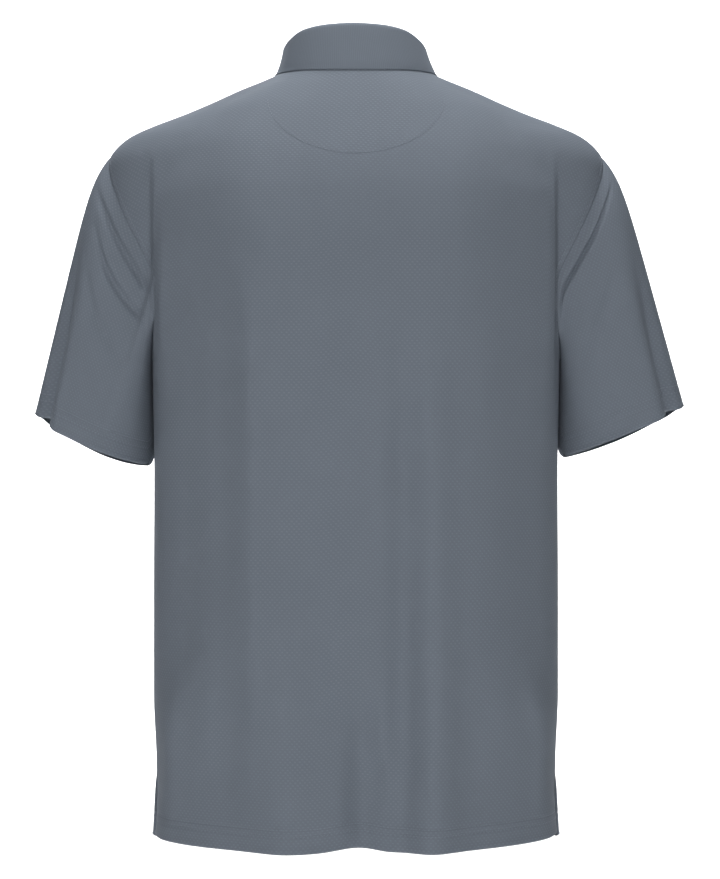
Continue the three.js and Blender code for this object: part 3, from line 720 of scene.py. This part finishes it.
def add_stitches(line, normals):
    """Threads along a line of points: short raised arches, each sunk at both ends."""
    lengths = np.concatenate([[0], np.cumsum(np.linalg.norm(np.diff(line, axis=0), axis=1))])
    rings = STITCH["rings"]
    arch = np.sin(np.linspace(0, math.pi, rings))
    radii = STITCH["width"] / 2 * (STITCH["end"] + (1 - STITCH["end"]) * arch)
    for i in range(int(lengths[-1] / STITCH["pitch"])):
        middle = (i + 0.5) * STITCH["pitch"]
        at = middle + STITCH["length"] * np.linspace(-0.5, 0.5, rings)
        centre = np.stack([np.interp(at, lengths, line[:, k]) for k in range(3)], axis=1)
        up = unit(np.stack([np.interp(at, lengths, normals[:, k]) for k in range(3)], axis=1))
        forward = unit(np.gradient(centre, axis=0))
        side = unit(np.cross(forward, up))
        centre = centre + up * (arch * STITCH["arch"] - STITCH["sunk"])[:, None]
        add_tube(centre, radii, side, up, STITCH["sides"])


def line_at(points, normals, distance, target):
    """The line across a grid at a given distance from one end of each column."""
    line, up = [], []
    for i in range(points.shape[1]):
        d = distance[:, i]
        order = np.argsort(d)
        line.append([np.interp(target, d[order], points[order, i, k]) for k in range(3)])
        up.append([np.interp(target, d[order], normals[order, i, k]) for k in range(3)])
    return np.array(line), unit(np.array(up))


# Materials

def nodes_of(name):
    material = bpy.data.materials.new(name)
    material.use_nodes = True
    tree = material.node_tree
    return material, tree, tree.nodes["Principled BSDF"]


def math_node(tree, operation, a, b=None, clamp=False):
    node = tree.nodes.new("ShaderNodeMath")
    node.operation = operation
    node.use_clamp = clamp
    for socket, value in zip(node.inputs, (a, b)):
        if value is None:
            continue
        if isinstance(value, (int, float)):
            socket.default_value = value
        else:
            tree.links.new(value, socket)
    return node.outputs[0]


def weighted(tree, terms, clamp=False):
    """The sum of some sockets, each times its weight."""
    total = None
    for socket, weight in terms:
        part = math_node(tree, "MULTIPLY", socket, weight)
        total = part if total is None else math_node(tree, "ADD", total, part, clamp)
    return total


def mix_colours(tree, factor, dark, light):
    node = tree.nodes.new("ShaderNodeMix")
    node.data_type = "RGBA"
    tree.links.new(factor, node.inputs["Factor"])
    node.inputs[6].default_value = (*dark, 1)
    node.inputs[7].default_value = (*light, 1)
    return node.outputs[2]


def cloth_axes(tree):
    uv = tree.nodes.new("ShaderNodeUVMap")
    uv.uv_map = "cloth_mm"
    split = tree.nodes.new("ShaderNodeSeparateXYZ")
    tree.links.new(uv.outputs[0], split.inputs[0])
    return uv.outputs[0], split.outputs[0], split.outputs[1]


def soft_noise(tree, vector, scale, detail):
    noise = tree.nodes.new("ShaderNodeTexNoise")
    noise.inputs["Scale"].default_value = scale
    noise.inputs["Detail"].default_value = detail
    tree.links.new(vector, noise.inputs["Vector"])
    return noise.outputs["Fac"]


def dress(tree, shader, colour, height, strength, distance, look):
    """Gives a shader its colour, its bump and the constants of its look."""
    relief = tree.nodes.new("ShaderNodeBump")
    relief.inputs["Strength"].default_value = strength
    relief.inputs["Distance"].default_value = distance
    tree.links.new(height, relief.inputs["Height"])
    tree.links.new(relief.outputs[0], shader.inputs["Normal"])
    tree.links.new(colour, shader.inputs["Base Color"])
    for socket, value in look.items():
        shader.inputs[socket].default_value = value


def pique_material(name, dark, light):
    """A fine knit with rows of small staggered raised dots. Each dot is also painted lighter as a painted
    highlight on its raised top, over a random tone from two noises.
    """
    material, tree, shader = nodes_of(name)
    vector, u, v = cloth_axes(tree)
    row = math_node(tree, "DIVIDE", v, KNIT["along"])
    odd = math_node(tree, "PINGPONG", math_node(tree, "FLOOR", row), 1.0)
    column = math_node(tree, "DIVIDE", u, KNIT["across"])
    column = math_node(tree, "ADD", column, math_node(tree, "MULTIPLY", odd, 0.5))
    squares = []
    for count, shrink in ((column, KNIT["narrow"]), (row, KNIT["short"])):
        off = math_node(tree, "SUBTRACT", math_node(tree, "FRACT", count), 0.5)
        off = math_node(tree, "ABSOLUTE", math_node(tree, "MULTIPLY", off, shrink))
        squares.append(math_node(tree, "POWER", off, 2.0))
    dot = math_node(tree, "SUBTRACT", 1.0, math_node(tree, "ADD", *squares), clamp=True)
    fibre = soft_noise(tree, vector, 1.7, 3.0)
    slub = soft_noise(tree, vector, 0.018, 3.0)
    # The dots' share of the colour is a painted highlight on their raised tops; the fibre and slub noises
    # are random tone
    shade = weighted(tree, ((dot, 0.42), (fibre, 0.35), (slub, 0.2)), clamp=True)
    height = weighted(tree, ((dot, 1.0), (fibre, 0.3)))
    dress(tree, shader, mix_colours(tree, shade, dark, light), height, 0.3, 0.0004, PIQUE_LOOK)
    return material


def rib_material(name, dark, light):
    """The collar's flat knit: close fine ribs that run up and down."""
    material, tree, shader = nodes_of(name)
    vector, u, v = cloth_axes(tree)
    rib = math_node(tree, "PINGPONG", math_node(tree, "DIVIDE", u, COLLAR_RIB["across"]), 1.0)
    course = math_node(tree, "PINGPONG", math_node(tree, "DIVIDE", v, COLLAR_RIB["along"]), 1.0)
    fibre = soft_noise(tree, vector, 1.5, 3.0)
    shade = weighted(tree, ((rib, 0.45), (fibre, 0.45)), clamp=True)
    height = weighted(tree, ((rib, 1.0), (course, 0.25), (fibre, 0.4)))
    dress(tree, shader, mix_colours(tree, shade, dark, light), height, 0.3, 0.0002, RIB_LOOK)
    return material


def thread_material(name, dark, light):
    """Sewing thread, with a fine twist."""
    material, tree, shader = nodes_of(name)
    place = tree.nodes.new("ShaderNodeTexCoord")
    twist = tree.nodes.new("ShaderNodeTexWave")
    twist.inputs["Scale"].default_value = 900
    twist.inputs["Distortion"].default_value = 1.0
    tree.links.new(place.outputs["Object"], twist.inputs["Vector"])
    wave = twist.outputs["Fac"]
    dress(tree, shader, mix_colours(tree, wave, dark, light), wave, 0.3, 0.0001, THREAD_LOOK)
    return material


def button_material(name, dark, light):
    """Faintly clouded, half-glossy plastic."""
    material, tree, shader = nodes_of(name)
    place = tree.nodes.new("ShaderNodeTexCoord").outputs["Object"]
    cloud = soft_noise(tree, place, 260, 4.0)
    grain = soft_noise(tree, place, 2400, 2.0)
    dress(tree, shader, mix_colours(tree, cloud, dark, light), grain, 0.06, 0.0001, BUTTON_LOOK)
    rough = math_node(tree, "ADD", math_node(tree, "MULTIPLY", cloud, 0.12), 0.28)
    tree.links.new(rough, shader.inputs["Roughness"])
    return material


CLOTH_LOOK = {"Sheen Tint": (0.75, 0.82, 0.95, 1), "Specular IOR Level": 0.16}
PIQUE_LOOK = {**CLOTH_LOOK, "Roughness": 0.82, "Sheen Weight": 0.05, "Sheen Roughness": 0.45}
RIB_LOOK = {**CLOTH_LOOK, "Roughness": 0.85, "Sheen Weight": 0.07, "Sheen Roughness": 0.5}
THREAD_LOOK = {"Roughness": 0.6}
BUTTON_LOOK = {"Coat Weight": 0.2, "Coat Roughness": 0.25}

PIQUE = pique_material("pique_cloth", (0.12, 0.14, 0.168), (0.19, 0.217, 0.255))
RIB = rib_material("collar_rib", (0.136, 0.158, 0.188), (0.183, 0.211, 0.25))
THREAD = thread_material("sewing_thread", (0.14, 0.162, 0.195), (0.195, 0.223, 0.264))
BUTTON_PLASTIC = button_material("button_plastic", (0.085, 0.1, 0.122), (0.13, 0.152, 0.18))


# The body panels

def panel_rows():
    rest = np.arange(HEM_Z + PANEL_ROWS["first"], 0, PANEL_ROWS["pitch"])
    return np.concatenate([HEM_Z + np.array(PANEL_HEM_ROWS), rest[rest < PANEL_ROWS["last_z"]],
                           PANEL_ROWS["top"]])


def panel_shares(face):
    """Columns across a panel, closer at its edges and, at the back, close over the tucks."""
    ends = np.array(PANEL_EDGE_COLUMNS) * PANEL["edge"]
    tucked = np.arange(PANEL["edge"], PANEL["tuck_end"], PANEL["fine"] if face > 0 else PANEL["coarse"])
    middle = np.linspace(PANEL["tuck_end"], 0.5, PANEL["middle"])
    half = np.concatenate([ends, tucked, middle])
    return np.concatenate([half, 1 - half[-2::-1]])


def panel_sink(face, points, rows, from_edge, up):
    """How far the seams, the stitch lines and the rolled hem press in."""
    seamed = rows[:, None] > VENT_TOP_Z
    armed = ((rows > UNDERARM_Z) & (rows < SHOULDER_TIP_Z))[:, None]
    vent = (rows < VENT_TOP_Z + VENT_STITCH_ENDS["groove"])[:, None]
    sink = np.where(seamed, SEAM["sink"] * bump(from_edge, SEAM["spread"]), 0)
    sink = sink + np.where(armed, grooves(from_edge, [TOPSTITCH]), 0)
    sink = sink + grooves(up, HEM_STITCHES) + hem_roll(up)
    sink = sink + np.where(vent, grooves(from_edge, [VENT_STITCH]), 0)
    return sink + half_moon_groove(points) if face > 0 else sink


def stitch_panel(points, normals, rows, across, up):
    for line in HEM_STITCHES:
        add_stitches(*line_at(points, normals, up, line))
    armed = (rows > UNDERARM_Z + ARM_STITCH_ENDS["low"]) & (rows < SHOULDER_TIP_Z - ARM_STITCH_ENDS["high"])
    vent = (rows > HEM_Z + VENT_STITCH_ENDS["low"]) & (rows < VENT_TOP_Z + VENT_STITCH_ENDS["high"])
    mirrored = (points[:, ::-1], normals[:, ::-1], (across[:, -1:] - across)[:, ::-1])
    for grid in ((points, normals, across), mirrored):
        for inset, shown in ((TOPSTITCH, armed), (VENT_STITCH, vent)):
            turned = [np.swapaxes(part[shown], 0, 1) for part in grid]
            add_stitches(*line_at(*turned, inset))


def build_panel(face, name):
    rows = panel_rows()
    shares = panel_shares(face)
    points = torso_point(*panel_place(face, shares[None, :], rows[:, None]))
    normals = grid_normals(points, False) * face
    across = arc_lengths(points, 1)
    from_edge = np.minimum(across, across[:, -1:] - across)
    opened = between(rows, VENT_TOP_Z, VENT_TOP_Z - VENT_STEP["grown"])[:, None]
    outward = VENT_STEP["back" if face > 0 else "front"] * opened * bump(from_edge, VENT_STEP["reach"])
    points[..., 0] = points[..., 0] + np.sign(points[..., 0]) * outward
    up = arc_lengths(points, 0)
    placed = points - normals * panel_sink(face, points, rows, from_edge, up)[..., None]
    thick = np.where(rows < HEM_Z + HEM_DEPTH + 1, HEM_CLOTH, CLOTH)[:, None]
    middle = across[:, across.shape[1] // 2][:, None]
    uv = np.stack([across - middle, up], axis=-1)
    made = shell(name, placed, normals, thick, PIQUE, uv=uv)
    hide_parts(name)
    stitch_panel(placed, grid_normals(placed, False) * face, rows, across, up)
    return made


def half_moon_line(count):
    sweep = np.linspace(-math.pi / 2, math.pi / 2, count)
    x = HALF_MOON["half"] * np.sin(sweep)
    z = lerp(HALF_MOON["corner"], HALF_MOON["bottom"], np.cos(sweep))
    return x, z


def half_moon_groove(points):
    near = np.full(points.shape[:2], np.inf)
    for x, z in zip(*half_moon_line(MOON_GROOVE["points"])):
        near = np.minimum(near, np.hypot(points[..., 0] - x, points[..., 2] - z))
    near = np.where(points[..., 1] > 0, near, np.inf)
    return MOON_GROOVE["depth"] * np.exp(-(np.clip(near - MOON_GROOVE["flat"], 0, None) ** 2))


# The sleeves

def build_sleeve(which):
    sleeve = SLEEVES[which]
    side = sleeve["side"]
    name = f"sleeve_{which}"
    psi = 2 * math.pi * np.arange(SLEEVE_COLUMNS) / SLEEVE_COLUMNS
    stretches = [np.linspace(*SLEEVE_ROWS[key]) for key in ("cap", "upper", "lower")]
    t = np.concatenate([SLEEVE_ROWS["seam"], *stretches, SLEEVE_ROWS["hem"]])
    points = sleeve_point(sleeve, psi[None, :], t[:, None])
    normals = grid_normals(points, True) * -side
    seam_normals = torso_normal(*armhole_place(side, psi))
    along = arc_lengths(points, 0)
    from_hem = along[-1:] - along
    sink = SEAM["sink"] * bump(along, SEAM["spread"]) + grooves(from_hem, HEM_STITCHES)
    sink = sink + hem_roll(from_hem)
    turn = smoothstep(along, 0, SEAM_TURN)[..., None]
    start = lerp(seam_normals, normals[0], underarm(psi)[:, None])
    blended = unit(lerp(start[None], normals, turn))
    placed = points - blended * sink[..., None]
    fresh = grid_normals(placed, True) * -side
    thick = np.where(t > SLEEVE_HEM_SHARE, HEM_CLOTH, CLOTH)[:, None]
    ring = arc_lengths(np.concatenate([points, points[:, :1]], axis=1), 1)
    u = np.broadcast_to(ring[t.size // 2][None, :], ring.shape)
    v = np.concatenate([from_hem, from_hem[:, :1]], axis=1)
    made = shell(name, placed, blended, thick, PIQUE, closed=True, uv=np.stack([u, v], axis=-1))
    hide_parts(name)
    for line in HEM_STITCHES:
        row, up = line_at(placed, fresh, from_hem, line)
        add_stitches(np.concatenate([row, row[:1]]), np.concatenate([up, up[:1]]))
    return made


# The collar

def collar_point(turn, share):
    """The collar's middle surface by the turn in degrees and the share of the way from its
    foot over the roll to the edge of its fall."""
    turn, share = np.broadcast_arrays(np.asarray(turn, float), np.asarray(share, float))
    angle = np.radians(90 - turn)
    size = np.abs(turn)
    neck = torso_point(angle, neck_height(angle))
    out = unit(np.stack([np.cos(angle) / NECK_HALF[0] ** 2, np.sin(angle) / NECK_HALF[1] ** 2,
                         0 * angle], axis=-1))
    up = np.zeros_like(out)
    up[..., 2] = 1
    foot = neck - out * COLLAR_FOOT["inset"] + up * COLLAR_FOOT["lift"]
    rise = unit(up - out * COLLAR_LEAN)
    straight = (collar["stand"](size) - COLLAR_ROLL - COLLAR_CLOTH / 2)[..., None]
    straight = straight - COLLAR_FOOT["lift"] + COLLAR_FOOT["solid_lift"]
    top = foot + rise * straight
    middle = top + out * COLLAR_ROLL
    s = share[..., None]
    stand = lerp(foot, top, s / STAND_SHARE)
    turned = math.pi * np.clip((s - STAND_SHARE) / (ROLL_SHARE - STAND_SHARE), 0, 1)
    roll = middle - out * COLLAR_ROLL * np.cos(turned) + rise * COLLAR_ROLL * np.sin(turned)
    start = middle + out * COLLAR_ROLL
    edge = np.radians(90 - np.sign(turn) * collar["edge_turn"](size))
    edge_z = collar["edge_z"](size)
    end = torso_point(edge, edge_z) + torso_normal(edge, edge_z) * (COLLAR_CLOTH / 2 + COLLAR_CLEAR)
    gap = np.linalg.norm(end - start, axis=-1, keepdims=True)
    bow = lerp(FALL_BOW["back"], FALL_BOW["front"], smoothstep(size, *FALL_BOW["fade"]))[..., None]
    bend = start - rise * bow * gap
    k = np.clip((s - ROLL_SHARE) / (1 - ROLL_SHARE), 0, 1)
    fall = start * (1 - k) ** 2 + bend * 2 * k * (1 - k) + end * k**2
    point = np.where(s <= STAND_SHARE, stand, np.where(s <= ROLL_SHARE, roll, fall))
    point[..., 0] = point[..., 0] + COLLAR_SWAY * np.maximum(0, point[..., 2])
    return point


def collar_grid():
    """The collar's turns and shares, each stretch without the value that the next repeats."""
    end_turn, at_end = COLLAR_COLUMNS["end_turn"], COLLAR_COLUMNS["at_end"]
    turns = np.concatenate([np.linspace(-COLLAR_END, -end_turn, at_end)[:-1],
                            np.linspace(-end_turn, end_turn, COLLAR_COLUMNS["between"]),
                            np.linspace(end_turn, COLLAR_END, at_end)[1:]])
    shares = np.concatenate([np.linspace(0, STAND_SHARE, COLLAR_ROWS["stand"])[:-1],
                             np.linspace(STAND_SHARE, ROLL_SHARE, COLLAR_ROWS["roll"])[:-1],
                             np.linspace(ROLL_SHARE, COLLAR_ROWS["fall_end"], COLLAR_ROWS["fall"])[:-1],
                             COLLAR_ROWS["edge"]])
    return turns[None, :], shares[:, None]


def build_collar():
    middle = collar_point(*collar_grid())
    normals = grid_normals(middle, False)
    along = arc_lengths(middle, 0)
    across = arc_lengths(middle, 1)
    from_edge = along[-1:] - along
    near = np.minimum(from_edge, np.minimum(across, across[:, -1:] - across))
    rounded = 1 - np.clip(1 - near / COLLAR_EDGE["rounding"], 0, 1) ** 2
    thick = COLLAR_CLOTH * np.sqrt(np.clip(rounded, COLLAR_EDGE["least"], 1))
    thick = thick * lerp(COLLAR_EDGE["share"], 1, smoothstep(from_edge, 0, COLLAR_EDGE["depth"]))
    outer = middle + normals * (thick / 2)[..., None]
    measured = across[COLLAR_ROWS["measured"]]
    u = np.broadcast_to((measured - measured[measured.size // 2])[None, :], across.shape)
    made = shell("collar", outer, normals, thick, RIB, uv=np.stack([u, along], axis=-1))
    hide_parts("collar")


# The placket, its buttons and the half-moon

def strip(name, half, top_drop, bottom_z, moved, cloth, grid):
    """One side of the placket. Its normals point in at the body, so its wall and its stitches
    are built out from the points and in from them."""
    x = np.linspace(-half, half, grid["columns"])[None, :]
    share = np.linspace(0, 1, grid["rows"])[:, None]
    top = neck_height(angle_at_x(-1, x, -FRONT_NECK_DROP)) - top_drop
    z = lerp(top, bottom_z, share)
    x = np.broadcast_to(x, z.shape)
    angle = angle_at_x(-1, x, z)
    out = torso_normal(angle, z)
    edge = np.minimum(half - np.abs(x), z - bottom_z)
    sink = PLACKET_EDGE["sink"] * bump(edge, PLACKET_EDGE["spread"])
    sink = sink + grooves(edge, [PLACKET_EDGE["stitch"]]) * PLACKET_EDGE["groove"]
    points = torso_point(angle, z) + out * moved - out * sink[..., None]
    normals = grid_normals(points, False)
    made = shell(name, points, normals, cloth, PIQUE, uv=np.stack([x, z], axis=-1))
    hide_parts(name)
    return x[0], points, normals


def build_placket():
    bottom = -FRONT_NECK_DROP - PLACKET["length"]
    x, points, normals = strip("placket_over", PLACKET["half"], PLACKET["top_drop"], bottom,
                               PLACKET["proud"], PLACKET["cloth"], PLACKET_GRID)
    behind = PLACKET["proud"] - PLACKET["cloth"] - UNDER_PLACKET["gap"]
    strip("placket_under", UNDER_PLACKET["half"], UNDER_PLACKET["top_drop"],
          bottom - UNDER_PLACKET["longer"], behind, UNDER_PLACKET["cloth"], UNDER_PLACKET_GRID)
    side_end, inset = PLACKET_STITCHES["side_end"], PLACKET_STITCHES["cross_inset"]
    for at in (PLACKET_EDGE["stitch"] - PLACKET["half"], PLACKET["half"] - PLACKET_EDGE["stitch"]):
        i = int(np.argmin(np.abs(x - at)))
        add_stitches(points[:side_end, i], normals[:side_end, i])
    for row in PLACKET_STITCHES["cross_rows"]:
        add_stitches(points[row, inset:-inset], normals[row, inset:-inset])


def build_half_moon():
    share = np.linspace(-1, 1, HALF_MOON_GRID["columns"])[None, :]
    down = np.linspace(0, 1, HALF_MOON_GRID["rows"])[:, None]
    sweep = math.pi / 2 * share
    x = lerp(HALF_MOON["neck_half"] * share, HALF_MOON["half"] * np.sin(sweep), down)
    low = lerp(HALF_MOON["corner"], HALF_MOON["bottom"], np.cos(sweep))
    z = lerp(HALF_MOON["neck_z"], low, down)
    angle = angle_at_x(1, x, z)
    points = torso_point(angle, z) - torso_normal(angle, z) * (CLOTH + HALF_MOON["gap"])
    normals = grid_normals(points, False)
    uv = np.stack([x, z], axis=-1)
    made = shell("half_moon", points, normals, HALF_MOON["cloth"], PIQUE, uv=uv)
    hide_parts("half_moon")


def stitch_half_moon():
    """The half-moon's stitch line, which shows on the outside of the back."""
    x, z = half_moon_line(MOON_STITCH["points"])
    angle = angle_at_x(1, x, z)
    out = torso_normal(angle, z)
    add_stitches(torso_point(angle, z) - out * MOON_STITCH["sunk"], out)


def turned_form(name):
    """A button's solid form, closed at both ends, before its holes."""
    work = bmesh.new()
    sides = BUTTON["sides"]
    turns = np.linspace(0, 2 * math.pi, sides, endpoint=False)
    rings = [[work.verts.new((row["radius"] * math.cos(a), row["radius"] * math.sin(a), row["height"]))
              for a in turns] for row in BUTTON_PROFILE]
    for low, high in zip(rings, rings[1:]):
        for i in range(sides):
            work.faces.new((low[i], low[(i + 1) % sides], high[(i + 1) % sides], high[i]))
    work.faces.new(rings[0][::-1])
    work.faces.new(rings[-1])
    return object_from(name, work)


def drills():
    work = bmesh.new()
    at = BUTTON["hole_at"] * math.sqrt(0.5)
    for dx, dy in ((1, 1), (1, -1), (-1, 1), (-1, -1)):
        cone = bmesh.ops.create_cone(work, cap_ends=True, segments=BUTTON["hole_sides"],
                                     radius1=BUTTON["hole"], radius2=BUTTON["hole"], depth=BUTTON["drill"])
        bmesh.ops.translate(work, verts=cone["verts"], vec=(dx * at, dy * at, 0))
    return object_from("drill", work)


def drill_holes(made):
    cutter = drills()
    cut = made.modifiers.new("holes", "BOOLEAN")
    cut.object = cutter
    cut.solver = "EXACT"
    graph = bpy.context.evaluated_depsgraph_get()
    finished = bpy.data.meshes.new_from_object(made.evaluated_get(graph))
    made.modifiers.clear()
    made.data = finished
    bpy.data.objects.remove(cutter)
    return finished


def build_button(number, drop):
    z = np.array(float(-FRONT_NECK_DROP - drop))
    angle = angle_at_x(-1, 0.0, z)
    normal = torso_normal(angle, z)
    centre = torso_point(angle, z) + normal * (PLACKET["proud"] + BUTTON["gap"])
    made = turned_form(f"button_{number}_shown")
    finished = drill_holes(made)
    turn = Vector((0, 0, 1)).rotation_difference(Vector(normal)).to_matrix().to_4x4()
    turn.translation = Vector(centre)
    finished.transform(turn)
    finished.transform(Matrix.Scale(MM, 4))
    smooth(finished)
    finished.set_sharp_from_angle(angle=math.radians(BUTTON["sharp_degrees"]))
    finished.materials.clear()
    finished.materials.append(BUTTON_PLASTIC)
    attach(made, "root")
    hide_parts(f"button_{number}")
    side = unit(np.cross(normal, np.array([0, 0, 1.0])))
    up = np.cross(side, normal)
    at = BUTTON["hole_at"] * math.sqrt(0.5)
    for k in (-1, 1):
        middle = centre + side * k * at + normal * THREAD_BAR["height"]
        add_thread_bar(middle - up * at, middle + up * at, normal)


def add_thread_bar(a, b, normal):
    """Two strands of thread between a button's holes."""
    across = np.cross(unit(b - a), normal)
    t = np.linspace(0, 1, THREAD_BAR["rings"])
    lift = THREAD_BAR["arch"] * np.sin(math.pi * t) - THREAD_BAR["sunk"]
    radii = [THREAD_BAR["radius"]] * t.size
    for shift in THREAD_BAR["strands"]:
        centres = lerp(a, b, t[:, None]) + across * shift + normal * lift[:, None]
        add_tube(centres, radii, [across] * t.size, [normal] * t.size, THREAD_BAR["sides"])


def build_stitches():
    points = np.array(stitches["points"])
    faces = np.array(stitches["faces"])
    uvs = np.zeros((len(points), 2))
    tidy(new_object("stitching", points, faces, uvs, THREAD))


back = build_panel(1, "back")
front = build_panel(-1, "front")
left_sleeve = build_sleeve("left")
right_sleeve = build_sleeve("right")
build_collar()
build_placket()
build_half_moon()
for number, drop in enumerate(BUTTON_DROPS, 1):
    build_button(number, drop)
stitch_half_moon()
build_stitches()


# The stage, the lights and the camera, in metres

FLOOR = dict(z=-1.15, far=-6.5, near=8.0, cove=2.0, top=6.0, reach=12.0, steps=12, grey=0.9)
MIDDLE = (0, 0, -0.37)
LIGHTS = table(
    "name place aim size power",
    ("key", (0.1, 2.9, 0.3), MIDDLE, 0.8, 37),
    ("overhead", (0.0, -0.22, 2.2), (0, 0, -0.1), 0.7, 66),
    ("front_fill", (0.6, -2.4, 0.9), MIDDLE, 1.6, 24),
    ("backdrop_left", (2.0, -4.0, 0.9), (1.0, -6.2, -0.9), 2.4, 200),
    ("backdrop_right", (-2.0, -4.0, 0.9), (-1.0, -6.2, -0.9), 2.4, 200),
    ("backdrop_near", (0.0, 4.9, 1.4), (0.0, 8.0, 0.0), 2.4, 30),
)
WORLD_STRENGTH = 0.14
DISTANCE = 2.8
EYE = (-0.004, DISTANCE, -0.3675)
SENSOR = 36
VIEW_HEIGHT = 0.879


def stage():
    """A pale floor that sweeps up into a wall on both sides."""
    work = bmesh.new()
    cove, base, steps = FLOOR["cove"], FLOOR["z"] + FLOOR["cove"], FLOOR["steps"]
    turns = [math.pi / 2 * i / steps for i in range(steps + 1)]
    near = [(FLOOR["near"] - cove + cove * math.sin(turn), base - cove * math.cos(turn)) for turn in turns]
    far = [(FLOOR["far"] + cove - cove * math.sin(turn), base - cove * math.cos(turn)) for turn in turns]
    profile = [(FLOOR["near"], FLOOR["top"]), *near[::-1], *far, (FLOOR["far"], FLOOR["top"])]
    lines = [[work.verts.new((x, y, z)) for x in (-FLOOR["reach"], FLOOR["reach"])] for y, z in profile]
    for low, high in zip(lines, lines[1:]):
        work.faces.new((low[0], low[1], high[1], high[0]))
    floor = object_from("studio_floor", work)
    smooth(floor.data)
    material, _, shader = nodes_of("floor_paper")
    shader.inputs["Base Color"].default_value = (FLOOR["grey"], FLOOR["grey"], FLOOR["grey"], 1)
    shader.inputs["Roughness"].default_value = 0.9
    floor.data.materials.append(material)


def light(name, place, aim, size, power):
    data = bpy.data.lights.new(name, "AREA")
    data.shape = "DISK"
    data.size = size
    data.energy = power
    made = add_object(name, data)
    made.location = place
    made.rotation_euler = (Vector(aim) - Vector(place)).to_track_quat("-Z", "Y").to_euler()


stage()
for row in LIGHTS:
    light(**row)

world = bpy.data.worlds.new("studio")
bpy.context.scene.world = world
world.use_nodes = True
world.node_tree.nodes["Background"].inputs["Color"].default_value = (1, 1, 1, 1)
world.node_tree.nodes["Background"].inputs["Strength"].default_value = WORLD_STRENGTH

camera_data = bpy.data.cameras.new("camera")
camera_data.sensor_width = SENSOR
camera_data.lens = SENSOR * DISTANCE / VIEW_HEIGHT
camera = add_object("camera", camera_data)
camera.location = EYE
camera.rotation_euler = Vector((0, -1, 0)).to_track_quat("-Z", "Y").to_euler()
bpy.context.scene.camera = camera
bpy.context.scene.view_settings.view_transform = "Standard"
